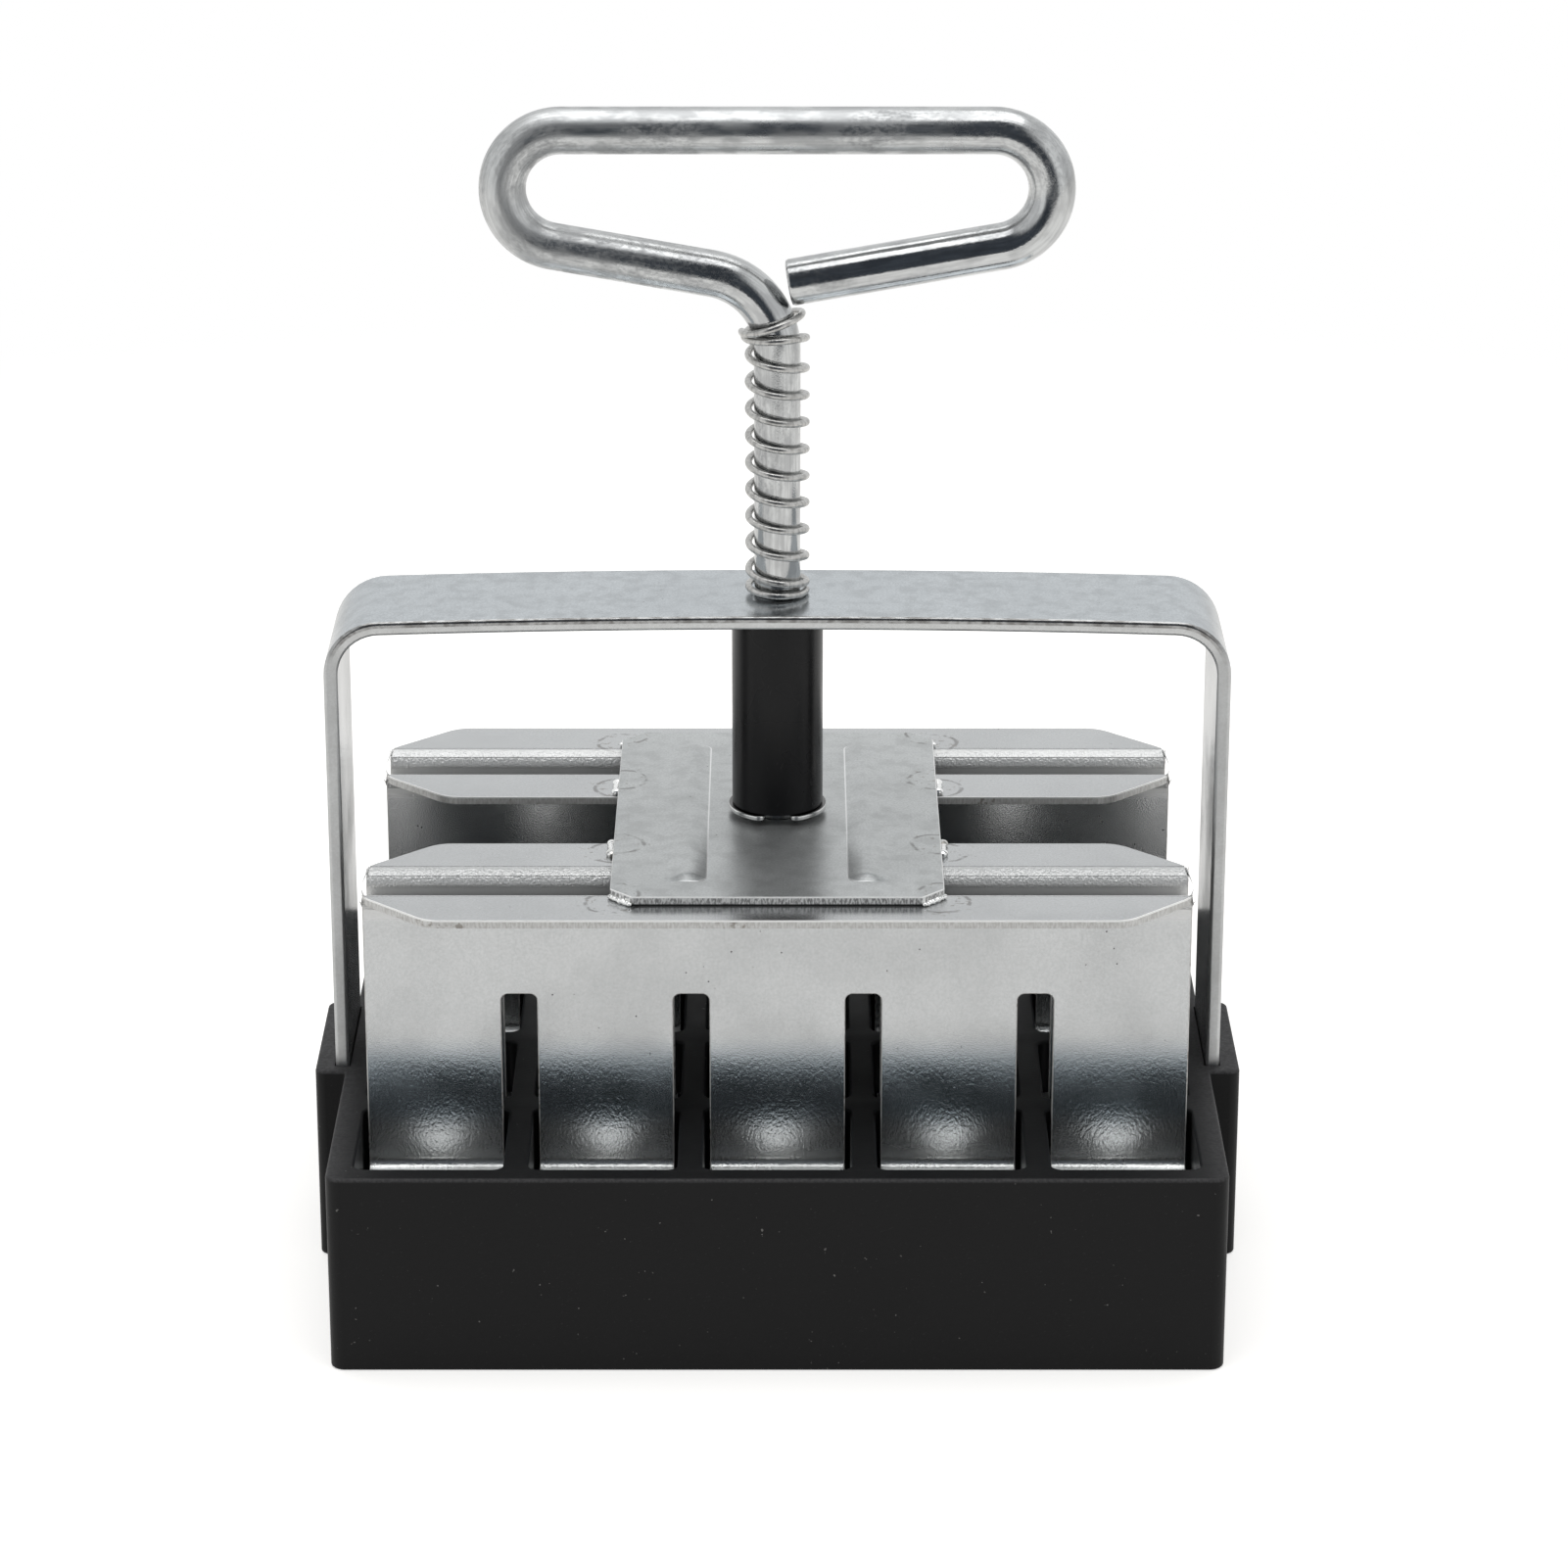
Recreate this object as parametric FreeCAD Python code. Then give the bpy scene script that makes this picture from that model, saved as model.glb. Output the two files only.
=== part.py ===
import FreeCAD, Part
import math
import os
from FreeCAD import Base, Vector

# Soil blocker: a hand press that moulds 20 small square blocks of potting soil.
# Millimetres. +Z is up, X runs along the handle, the origin is the middle of the base's underside.

# ---- Moulded base: an open grid of square cells ----
COLUMN_COUNT = 5
ROW_COUNT = 4
CELL = 20.5               # clear width of one cell
DIVIDER = 3.5             # wall between two cells
OUTER_WALL = 3.75
BASE_HEIGHT = 29.0
CELL_CORNER_R = 1.5
BASE_CORNER_R = 2.0

# ---- Ears on the two ends of the base, with the pockets that hold the strap ----
EAR_LENGTH = 26.0
EAR_SKIN = 2.85           # plastic outside the strap's leg
POCKET_FLOOR = 4.0
POCKET_FIT = 0.15
EAR_CORNER_R = 1.5

# ---- Flat steel strap, bent over the plunger ----
STRAP_WIDTH = 21.5
STRAP_THICKNESS = 2.0
STRAP_SPAN = 127.0        # over the outer faces of the legs
STRAP_TOP = 97.0          # height of the crown
STRAP_CROWN = 1.1         # how far the top bows upwards
STRAP_BEND_R = 8.0        # outer radius of the two bends
STRAP_HOLE_FIT = 0.25     # around the rod

# ---- Countersunk screws through the ears and the legs ----
SCREW_D = 3.0
SCREW_HEAD_D = 6.0
SCREW_HEIGHT = 12.0       # above the underside
SCREW_FIT = 0.05
LEG_HOLE_FIT = 0.2
SCREW_LENGTH = 7.0
RECESS_WIDTH = 0.8
RECESS_LENGTH = 3.2
RECESS_DEPTH = 1.0

# ---- Finger plates: one bent sheet per row of cells ----
SHEET = 1.2               # sheet thickness
BLOCK_HEIGHT = 20.0       # soil under the feet with the plunger up
SHEET_TOP = 62.7          # top of the flange
SHEET_SETBACK = 1.65      # sheet to the divider behind it
FOOT_GAP = 0.65           # tip of the foot to the wall in front of it
FINGER_GAP = 0.75         # each side of a finger, to the cell's wall
FLANGE_DEPTH = 11.3
FLANGE_BEND_R = 2.4       # outer radius
FOOT_BEND_R = 2.8         # outer radius
SLOT_TOP = 47.6           # the slots between the fingers end here
SLOT_CORNER_R = 1.0
FLANGE_TAPER = 9.5        # taken off the ends of the flange
FLANGE_CORNER_R = 5.0     # where the taper meets the flange's free edge
DIMPLE_D = 14.0           # pressed dimple that leaves the seed hole in a block
DIMPLE_TIP_D = 6.0
DIMPLE_DEPTH = 3.0
DIMPLE_FORWARD = 1.5      # from the middle of the cell, towards the tip of the foot
DIMPLE_WALL = 1.0
DIMPLE_SIDES = 16         # flats around a dimple

# ---- Crown plate that joins the finger plates ----
CROWN_LENGTH = 66.6       # along Y
CROWN_WIDTH = 46.2        # along X
CROWN_THICKNESS = 1.3
CROWN_CORNER = 3.1        # corner cut
CROWN_HOLE_FIT = 0.1
BEAD_WIDTH = 6.8
BEAD_LENGTH = 55.2
BEAD_HEIGHT = 0.5
BEAD_CORNER_R = 2.0
BEAD_SPACING = 26.2       # between the middles of the two beads
BEAD_WALL = 1.0
WELD_LENGTH = 5.5
WELD_END_GAP = 0.4        # end of a weld to the free edge of its flange
WELD_SIZE = 1.2

# ---- Rod, bent at the top into the loop handle ----
ROD_D = 6.5
ROD_TAIL = 2.6            # rod below the lower ring
ROD_END_CHAMFER = 0.5
KNEE_HEIGHT = 141.8       # where the rod's axis meets the line of the lower bars
KNEE_R = 11.0             # centreline radius of the bend above the spring
BAR_SLOPE = 10.0          # degrees, the lower bars rise outwards
HANDLE_LENGTH = 82.0      # over the two rounded ends
HANDLE_END_R = 8.2        # centreline radius of the rounded ends
TIP_GAP = 0.3             # cut end of the rod to the outside of the knee

# ---- Sleeve and retaining rings on the rod ----
SLEEVE_D = 12.9
SLEEVE_FIT = 0.3          # sleeve around the rod
SLEEVE_PLAY = 0.2         # sleeve to the underside of the strap, plunger up
RING_D = 14.0
RING_THICKNESS = 0.8
RING_PLAY = 0.8           # crown plate to the ring above it
RING_MOUTH = 3.5
GROOVE_DEPTH = 0.6
GROOVE_FIT = 0.05

# ---- Return spring ----
WIRE_D = 1.0
SPRING_D = 9.0            # outside the coils
SPRING_TURNS = 11.5
SPRING_CLOSED_TURNS = 1.0 # at each end
SPRING_CLOSED_PITCH = 1.2
SPRING_REACH = 4.4        # the top coil catches this far up the knee
WIRE_SIDES = 8            # flats around the wire
WIRE_STEPS = 12           # straight steps in one turn

# ---- Worked out from the sizes above ----
PITCH = CELL + DIVIDER
BASE_X = COLUMN_COUNT * PITCH - DIVIDER + 2 * OUTER_WALL
BASE_Y = ROW_COUNT * PITCH - DIVIDER + 2 * OUTER_WALL
LEG_OUTER = STRAP_SPAN / 2
LEG_INNER = LEG_OUTER - STRAP_THICKNESS
EAR_X = LEG_OUTER + EAR_SKIN
FINGER = CELL - 2 * FINGER_GAP
SHEET_WIDTH = COLUMN_COUNT * PITCH - DIVIDER - 2 * FINGER_GAP
FOOT_DEPTH = CELL - SHEET_SETBACK - FOOT_GAP
CROWN_TOP = SHEET_TOP + CROWN_THICKNESS
UPPER_RING = CROWN_TOP + RING_PLAY
LOWER_RING = SHEET_TOP - RING_THICKNESS
SLEEVE_BOTTOM = UPPER_RING + RING_THICKNESS
STRAP_UNDERSIDE = STRAP_TOP - STRAP_THICKNESS
ROD_R = ROD_D / 2
SLOPE = math.radians(BAR_SLOPE)
KNEE_START = KNEE_HEIGHT - KNEE_R * math.tan((math.pi / 2 - SLOPE) / 2)
BACK = Vector(0, 1, 0)
UP = Vector(0, 0, 1)

os.makedirs("parts", exist_ok=True)


def write(name, shape):
    """Write one piece as parts/NAME.step."""
    shape.exportStep("parts/" + name + ".step")


def box(x0, x1, y0, y1, z0, z1):
    """A block between two corners."""
    return Part.makeBox(x1 - x0, y1 - y0, z1 - z0, Vector(x0, y0, z0))


def centres(count):
    """Middles of the cells along one direction, about zero."""
    return [(i - (count - 1) / 2) * PITCH for i in range(count)]


def round_upright_edges(block, radius):
    """Round the edges that run along Z."""
    upright = [e for e in block.Edges if abs(e.tangentAt(e.FirstParameter).z) > 0.999]
    return block.makeFillet(radius, upright)


def arc(centre, radius, start, end):
    """Arc in the XZ plane about centre, angles in degrees from +X towards +Z."""
    def at(angle):
        turn = math.radians(angle)
        return centre + Vector(radius * math.cos(turn), 0, radius * math.sin(turn))
    return Part.Arc(at(start), at((start + end) / 2), at(end)).toShape()


def chain(points_and_arcs):
    """Join arcs and bare points, in order, with straight lines into one wire."""
    edges = []
    last = None
    for item in points_and_arcs:
        is_point = isinstance(item, Base.Vector)
        start = item if is_point else item.valueAt(item.FirstParameter)
        if last is not None and last.distanceToPoint(start) > 1e-6:
            edges.append(Part.makeLine(last, start))
        if not is_point:
            edges.append(item)
        last = item if is_point else item.valueAt(item.LastParameter)
    return Part.Wire(edges)


# ---------------------------------------------------------------- moulded base

def mould_base():
    """The grid of cells, with an ear and a strap pocket at each end."""
    body = round_upright_edges(box(-BASE_X / 2, BASE_X / 2, -BASE_Y / 2, BASE_Y / 2, 0, BASE_HEIGHT),
                               BASE_CORNER_R)
    ears = round_upright_edges(box(-EAR_X, EAR_X, -EAR_LENGTH / 2, EAR_LENGTH / 2, 0, BASE_HEIGHT),
                               EAR_CORNER_R)
    body = body.fuse(ears).removeSplitter()
    cells = []
    for x in centres(COLUMN_COUNT):
        for y in centres(ROW_COUNT):
            cell = box(x - CELL / 2, x + CELL / 2, y - CELL / 2, y + CELL / 2, 0, BASE_HEIGHT)
            cells.append(round_upright_edges(cell, CELL_CORNER_R))
    pockets = []
    for side in (-1, 1):
        near, far = sorted((side * (LEG_INNER - POCKET_FIT), side * (LEG_OUTER + POCKET_FIT)))
        half = STRAP_WIDTH / 2 + POCKET_FIT
        pockets.append(box(near, far, -half, half, POCKET_FLOOR, BASE_HEIGHT))
        pockets.append(screw_body(side, SCREW_FIT))
    return body.cut(cells + pockets)


# ---------------------------------------------------------------- strap and its screws

def strap_hull(inset, bottom):
    """The solid inside the strap's outer face, or inside a face that lies inset within it."""
    half = LEG_OUTER - inset
    top = STRAP_TOP - inset
    shoulder = top - STRAP_CROWN
    bow = Part.Arc(Vector(-half, 0, shoulder), Vector(0, 0, top), Vector(half, 0, shoulder)).toShape()
    outline = chain([Vector(-half, 0, bottom), bow, Vector(half, 0, bottom), Vector(-half, 0, bottom)])
    hull = Part.Face(outline).extrude(Vector(0, STRAP_WIDTH, 0))
    hull.translate(Vector(0, -STRAP_WIDTH / 2, 0))
    shoulders = [e for e in hull.Edges
                 if e.BoundBox.YLength > STRAP_WIDTH / 2 and abs(e.CenterOfMass.z - shoulder) < 1e-3]
    return hull.makeFillet(STRAP_BEND_R - inset, shoulders)


def carry_strap():
    """Flat bar bent into a low arch, with a hole for the rod and one for each screw."""
    strap = strap_hull(0, POCKET_FLOOR).cut(strap_hull(STRAP_THICKNESS, POCKET_FLOOR - STRAP_THICKNESS))
    rod_hole = Part.makeCylinder(ROD_R + STRAP_HOLE_FIT, 2 * STRAP_THICKNESS,
                                 Vector(0, 0, STRAP_UNDERSIDE - STRAP_THICKNESS / 2))
    leg_holes = Part.makeCylinder(SCREW_D / 2 + LEG_HOLE_FIT, 2 * EAR_X,
                                  Vector(-EAR_X, 0, SCREW_HEIGHT), Vector(1, 0, 0))
    return strap.cut([rod_hole, leg_holes])


def screw_body(side, fit):
    """Head cone and shank along X, grown by fit; the head is flush with the ear."""
    shank_r = SCREW_D / 2 + fit
    head_r = SCREW_HEAD_D / 2 + fit
    profile = chain([Vector(0, 0, 0), Vector(0, 0, head_r), Vector(-(head_r - shank_r), 0, shank_r),
                     Vector(-SCREW_LENGTH - fit, 0, shank_r), Vector(-SCREW_LENGTH - fit, 0, 0),
                     Vector(0, 0, 0)])
    screw = Part.Face(profile).revolve(Vector(0, 0, 0), Vector(1, 0, 0), 360)
    screw.translate(Vector(EAR_X, 0, SCREW_HEIGHT))
    if side < 0:
        screw.rotate(Vector(0, 0, 0), UP, 180)
    return screw


def leg_screw(side):
    """Countersunk screw with a cross recess."""
    near, far = sorted((side * (EAR_X - RECESS_DEPTH), side * (EAR_X + RECESS_DEPTH)))
    half_long, half_wide = RECESS_LENGTH / 2, RECESS_WIDTH / 2
    bars = [box(near, far, -half_long, half_long, SCREW_HEIGHT - half_wide, SCREW_HEIGHT + half_wide),
            box(near, far, -half_wide, half_wide, SCREW_HEIGHT - half_long, SCREW_HEIGHT + half_long)]
    return screw_body(side, 0).cut(bars)


# ---------------------------------------------------------------- rod with its loop handle

def rod_path():
    """Centreline: up the rod, over the knee, round the loop and back to the knee."""
    knee = arc(Vector(-KNEE_R, 0, KNEE_START), KNEE_R, 0, 90 - BAR_SLOPE)
    end_x = HANDLE_LENGTH / 2 - ROD_R - HANDLE_END_R
    bar_x = end_x + HANDLE_END_R * math.sin(SLOPE)
    end_z = KNEE_HEIGHT + bar_x * math.tan(SLOPE) + HANDLE_END_R * math.cos(SLOPE)
    left = arc(Vector(-end_x, 0, end_z), HANDLE_END_R, 270 - BAR_SLOPE, 90)
    right = arc(Vector(end_x, 0, end_z), HANDLE_END_R, 90, -90 + BAR_SLOPE)
    return chain([Vector(0, 0, LOWER_RING - ROD_TAIL), knee, left, right, tip_point()])


def tip_point():
    """Where the centreline ends, so that the cut end just clears the outside of the knee."""
    along = Vector(math.cos(SLOPE), 0, math.sin(SLOPE))
    across = Vector(-math.sin(SLOPE), 0, math.cos(SLOPE))
    from_knee = Vector(0, 0, KNEE_HEIGHT) - Vector(-KNEE_R, 0, KNEE_START)
    drop = from_knee.dot(across) - ROD_R
    reach = math.sqrt((KNEE_R + ROD_R + TIP_GAP) ** 2 - drop ** 2)
    return Vector(0, 0, KNEE_HEIGHT) + along * (reach - from_knee.dot(along))


def groove(bottom):
    """Ring of metal that is turned off the rod for a retaining ring."""
    outer = Part.makeCylinder(ROD_D, RING_THICKNESS, Vector(0, 0, bottom))
    return outer.cut(Part.makeCylinder(ROD_R - GROOVE_DEPTH, RING_THICKNESS, Vector(0, 0, bottom)))


def push_rod():
    """Round bar: plunger rod below, loop handle above, one piece of steel."""
    path = rod_path()
    section = Part.Wire(Part.makeCircle(ROD_R, path.Vertexes[0].Point, UP))
    rod = path.makePipeShell([section], True, True)
    ends = [e for e in rod.Edges if e.Closed and abs(e.Length - math.pi * ROD_D) < 1e-3
            and len(rod.ancestorsOfType(e, Part.Face)) == 2
            and any(isinstance(f.Surface, Part.Plane) for f in rod.ancestorsOfType(e, Part.Face))]
    rod = rod.makeChamfer(ROD_END_CHAMFER, ends)
    return rod.cut([groove(UPPER_RING), groove(LOWER_RING)])


def retaining_ring(bottom):
    """Flat C-shaped ring that sits in a groove of the rod, its mouth to the front."""
    inner_r = ROD_R - GROOVE_DEPTH + GROOVE_FIT
    ring = Part.makeCylinder(RING_D / 2, RING_THICKNESS, Vector(0, 0, bottom))
    bore = Part.makeCylinder(inner_r, RING_THICKNESS, Vector(0, 0, bottom))
    mouth = box(-RING_MOUTH / 2, RING_MOUTH / 2, -RING_D, 0, bottom, bottom + RING_THICKNESS)
    return ring.cut([bore, mouth])


def spacer_sleeve():
    """Tube on the rod that stops the plunger against the strap."""
    height = STRAP_UNDERSIDE - SLEEVE_PLAY - SLEEVE_BOTTOM
    seat = Vector(0, 0, SLEEVE_BOTTOM)
    return Part.makeCylinder(SLEEVE_D / 2, height, seat).cut(
        Part.makeCylinder(ROD_R + SLEEVE_FIT, height, seat))


def rod_axis(along):
    """Middle of the rod, and the way to its +X side, at a distance from the base along its axis."""
    bend = max(0, along - KNEE_START) / KNEE_R
    middle = Vector(KNEE_R * (math.cos(bend) - 1), 0, min(along, KNEE_START) + KNEE_R * math.sin(bend))
    return middle, Vector(math.cos(bend), 0, math.sin(bend))


def coil_rise(turns):
    """Distance along the rod of the wire's middle, after a number of turns from the strap."""
    first = STRAP_TOP + WIRE_D / 2
    open_turns = SPRING_TURNS - 2 * SPRING_CLOSED_TURNS
    last = KNEE_START + SPRING_REACH
    open_pitch = (last - first - 2 * SPRING_CLOSED_TURNS * SPRING_CLOSED_PITCH) / open_turns
    opened = min(max(turns - SPRING_CLOSED_TURNS, 0), open_turns)
    return first + (turns - opened) * SPRING_CLOSED_PITCH + opened * open_pitch


def return_spring():
    """Left-hand compression spring between the strap and the knee, with closed ends."""
    points = []
    for step in range(round(SPRING_TURNS * WIRE_STEPS) + 1):
        turns = step / WIRE_STEPS
        middle, right = rod_axis(coil_rise(turns))
        angle = -2 * math.pi * turns
        coil_r = (SPRING_D - WIRE_D) / 2
        points.append(middle + right * (coil_r * math.cos(angle)) + BACK * (coil_r * math.sin(angle)))
    heading = (points[1] - points[0]).normalize()
    sideways = heading.cross(UP).normalize()
    upwards = sideways.cross(heading)
    corner_r = WIRE_D / 2 / math.cos(math.pi / WIRE_SIDES)
    section = []
    for corner in range(WIRE_SIDES + 1):
        angle = 2 * math.pi * (corner + 0.5) / WIRE_SIDES
        section.append(points[0] + sideways * (corner_r * math.cos(angle))
                       + upwards * (corner_r * math.sin(angle)))
    mitred = 1
    return Part.makePolygon(points).makePipeShell([Part.makePolygon(section)], True, False, mitred)


# ---------------------------------------------------------------- plunger plates

def finger_section():
    """Section of a finger plate in YZ: back face at y = 0, flange and foot towards -y."""
    def corner(y, z, radius, start, end):
        points = []
        for angle in (start, (start + end) / 2, end):
            turn = math.radians(angle)
            points.append(Vector(0, y + radius * math.cos(turn), z + radius * math.sin(turn)))
        return Part.Arc(*points).toShape()
    foot_z = BLOCK_HEIGHT + FOOT_BEND_R
    flange_z = SHEET_TOP - FLANGE_BEND_R
    return chain([
        Vector(0, -FOOT_DEPTH, BLOCK_HEIGHT),
        corner(-FOOT_BEND_R, foot_z, FOOT_BEND_R, -90, 0),
        corner(-FLANGE_BEND_R, flange_z, FLANGE_BEND_R, 0, 90),
        Vector(0, -FLANGE_DEPTH, SHEET_TOP),
        Vector(0, -FLANGE_DEPTH, SHEET_TOP - SHEET),
        corner(-FLANGE_BEND_R, flange_z, FLANGE_BEND_R - SHEET, 90, 0),
        corner(-FOOT_BEND_R, foot_z, FOOT_BEND_R - SHEET, 0, -90),
        Vector(0, -FOOT_DEPTH, BLOCK_HEIGHT + SHEET),
        Vector(0, -FOOT_DEPTH, BLOCK_HEIGHT)])


def slot_cutters():
    """Slots with rounded corners that part the sheet into fingers over the dividers."""
    half = (PITCH - FINGER) / 2
    slots = []
    for x in centres(COLUMN_COUNT)[:-1]:
        middle = x + PITCH / 2
        slot = box(middle - half, middle + half, -FOOT_DEPTH, 0, 0, SLOT_TOP)
        corners = [e for e in slot.Edges
                   if abs(e.CenterOfMass.z - SLOT_TOP) < 1e-6 and abs(e.tangentAt(0).y) > 0.999]
        slots.append(slot.makeFillet(SLOT_CORNER_R, corners))
    return slots


def flange_blank():
    """Upright block whose plan is the flange's outline, with tapered and rounded free corners."""
    edge = SHEET_WIDTH / 2
    tip = edge - FLANGE_TAPER
    outline = Part.makePolygon([Vector(x, y, SLOT_TOP) for x, y in (
        (-edge, 0), (-edge, -FLANGE_BEND_R), (-tip, -FLANGE_DEPTH), (tip, -FLANGE_DEPTH),
        (edge, -FLANGE_BEND_R), (edge, 0), (-edge, 0))])
    blank = Part.Face(outline).extrude(UP * (SHEET_TOP - SLOT_TOP))
    corners = [e for e in blank.Edges
               if abs(e.CenterOfMass.y + FLANGE_DEPTH) < 1e-6 and abs(e.tangentAt(0).z) > 0.999]
    return blank.makeFillet(FLANGE_CORNER_R, corners)


def dimple(top, inset):
    """Blunt cone pressed down out of a foot; inset within the outer face gives its hollow."""
    slope = (DIMPLE_D - DIMPLE_TIP_D) / 2 / DIMPLE_DEPTH
    bottom = BLOCK_HEIGHT - DIMPLE_DEPTH + inset
    bottom_r = DIMPLE_TIP_D / 2 - inset * (math.sqrt(1 + slope ** 2) - slope)
    rings = []
    for z, radius in ((bottom, bottom_r), (top, bottom_r + slope * (top - bottom))):
        turns = [2 * math.pi * side / DIMPLE_SIDES for side in range(DIMPLE_SIDES + 1)]
        rings.append(Part.makePolygon([Vector(radius * math.cos(t), radius * math.sin(t), z)
                                       for t in turns]))
    cone = Part.makeLoft(rings, True, True)
    return cone.translated(Vector(0, SHEET_SETBACK - CELL / 2 - DIMPLE_FORWARD, 0))


def finger_plate():
    """One row's plate, with its back face at y = 0."""
    plate = Part.Face(finger_section()).extrude(Vector(SHEET_WIDTH, 0, 0))
    plate.translate(Vector(-SHEET_WIDTH / 2, 0, 0))
    below_flange = box(-SHEET_WIDTH / 2, SHEET_WIDTH / 2, -FOOT_DEPTH, 0, 0, SLOT_TOP)
    plate = plate.common(below_flange.fuse(flange_blank())).cut(slot_cutters()).removeSplitter()
    cones = []
    hollows = []
    for x in centres(COLUMN_COUNT):
        shift = Vector(x, 0, 0)
        cones.append(dimple(BLOCK_HEIGHT + SHEET / 2, 0).translated(shift))
        hollows.append(dimple(BLOCK_HEIGHT + SHEET, DIMPLE_WALL).translated(shift))
    return plate.fuse(cones).cut(hollows)


def row_backs():
    """Where each plate's back face stands, and the way it faces: -1 or +1 along Y.

    Neighbours stand back to back over every second divider."""
    backs = []
    for index, y in enumerate(centres(ROW_COUNT)):
        facing = 1 if index % 2 else -1
        backs.append((y - facing * (CELL / 2 - SHEET_SETBACK), facing))
    return backs


def plunger_rows():
    """The plates in their rows."""
    rows = []
    for back, facing in row_backs():
        plate = finger_plate()
        if facing > 0:
            plate.rotate(Vector(0, 0, 0), UP, 180)
        rows.append(plate.translated(Vector(0, back, 0)))
    return rows


def bead(inset, bottom, x):
    """Long block with rounded corners, along Y; inset within the bead's outside."""
    half_x, half_y = BEAD_WIDTH / 2 - inset, BEAD_LENGTH / 2 - inset
    block = box(x - half_x, x + half_x, -half_y, half_y, bottom, bottom + BEAD_HEIGHT)
    return round_upright_edges(block, BEAD_CORNER_R - inset)


def crown_plate():
    """Plate across the four flanges, stiffened by two pressed beads."""
    x, y = CROWN_WIDTH / 2, CROWN_LENGTH / 2
    plate = box(-x, x, -y, y, SHEET_TOP, CROWN_TOP)
    corners = [e for e in plate.Edges if abs(e.tangentAt(e.FirstParameter).z) > 0.999]
    plate = plate.makeChamfer(CROWN_CORNER, corners)
    hollows = [Part.makeCylinder(ROD_R + CROWN_HOLE_FIT, CROWN_THICKNESS, Vector(0, 0, SHEET_TOP))]
    for bead_x in (-BEAD_SPACING / 2, BEAD_SPACING / 2):
        raised = bead(0, CROWN_TOP, bead_x)
        rim = [e for e in raised.Edges if abs(e.BoundBox.ZMin - CROWN_TOP - BEAD_HEIGHT) < 1e-6]
        plate = plate.fuse(raised.makeChamfer(BEAD_HEIGHT * 0.8, rim))
        hollows.append(bead(BEAD_WALL, SHEET_TOP, bead_x))
    return plate.cut(hollows).removeSplitter()


def tack_welds():
    """Fillets of weld on the flanges: along the corner cuts of the crown plate and its long sides."""
    side, end = CROWN_WIDTH / 2, CROWN_LENGTH / 2
    half_cut = CROWN_CORNER / 2
    places = []
    for back, facing in row_backs()[1:-1]:
        middle = back + facing * (FLANGE_DEPTH - WELD_END_GAP - WELD_LENGTH / 2)
        places += [(side, middle, 0, WELD_LENGTH), (-side, middle, 180, WELD_LENGTH)]
    for x in (-1, 1):
        for y in (-1, 1):
            outwards = math.degrees(math.atan2(y, x))
            cut = math.hypot(CROWN_CORNER, CROWN_CORNER)
            places.append((x * (side - half_cut), y * (end - half_cut), outwards, cut))
    welds = []
    for x, y, outwards, length in places:
        fillet = Part.makeCylinder(WELD_SIZE, length, Vector(0, -length / 2, 0), BACK, 90)
        fillet.rotate(Vector(0, 0, 0), UP, outwards)
        welds.append(fillet.translated(Vector(x, y, SHEET_TOP)))
    return Part.makeCompound(welds)


# ---------------------------------------------------------------- the pieces

write("mould_base", mould_base())
write("carry_strap", carry_strap())
write("left_leg_screw", leg_screw(-1))
write("right_leg_screw", leg_screw(1))
write("return_spring", return_spring())
write("push_rod", push_rod())
write("spacer_sleeve", spacer_sleeve())
write("upper_retaining_ring", retaining_ring(UPPER_RING))
write("lower_retaining_ring", retaining_ring(LOWER_RING))
write("crown_plate", crown_plate())
for number, row_plate in enumerate(plunger_rows(), 1):
    write("plunger_row_" + str(number), row_plate)
write("tack_welds", tack_welds())
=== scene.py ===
from math import asin, copysign, cos, degrees, pi, radians, sin, sqrt, tan

import bmesh
import bpy
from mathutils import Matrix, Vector


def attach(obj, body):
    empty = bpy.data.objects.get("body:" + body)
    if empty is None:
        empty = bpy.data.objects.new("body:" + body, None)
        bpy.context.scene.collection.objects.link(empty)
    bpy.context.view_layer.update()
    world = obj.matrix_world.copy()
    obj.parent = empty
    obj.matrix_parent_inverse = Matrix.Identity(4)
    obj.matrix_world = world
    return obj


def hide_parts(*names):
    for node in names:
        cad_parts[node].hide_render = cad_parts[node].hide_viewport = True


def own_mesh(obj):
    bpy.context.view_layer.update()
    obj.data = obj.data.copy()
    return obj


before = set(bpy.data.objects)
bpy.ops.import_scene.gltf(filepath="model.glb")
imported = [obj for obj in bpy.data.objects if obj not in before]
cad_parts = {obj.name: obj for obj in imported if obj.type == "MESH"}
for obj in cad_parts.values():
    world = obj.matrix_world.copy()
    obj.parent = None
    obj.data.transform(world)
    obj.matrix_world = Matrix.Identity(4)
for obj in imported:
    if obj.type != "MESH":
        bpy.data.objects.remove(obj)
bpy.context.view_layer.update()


# ---------- studio
# A pale table in a white room, with one wide soft lamp overhead. In front of the table the room
# is darker, which gives bright metal its dark bands.

def add(tree, kind, inputs=None, **settings):
    """Add a node; its inputs are values, or outputs of other nodes."""
    node = tree.nodes.new(kind)
    for name, value in settings.items():
        setattr(node, name, value)
    for name, value in (inputs or {}).items():
        if isinstance(value, bpy.types.NodeSocket):
            tree.links.new(value, node.inputs[name])
        else:
            node.inputs[name].default_value = value
    return node


def made(tree, kind, inputs=None, **settings):
    """First output of a new node."""
    return add(tree, kind, inputs, **settings).outputs[0]


def maths(operation, *values):
    """Output of one operation on values or outputs."""
    tree = next(value.id_data for value in values if isinstance(value, bpy.types.NodeSocket))
    return made(tree, "ShaderNodeMath", dict(enumerate(values)), operation=operation)


def times(product, *others):
    """Product of values or outputs."""
    for other in others:
        product = maths("MULTIPLY", product, other)
    return product


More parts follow.
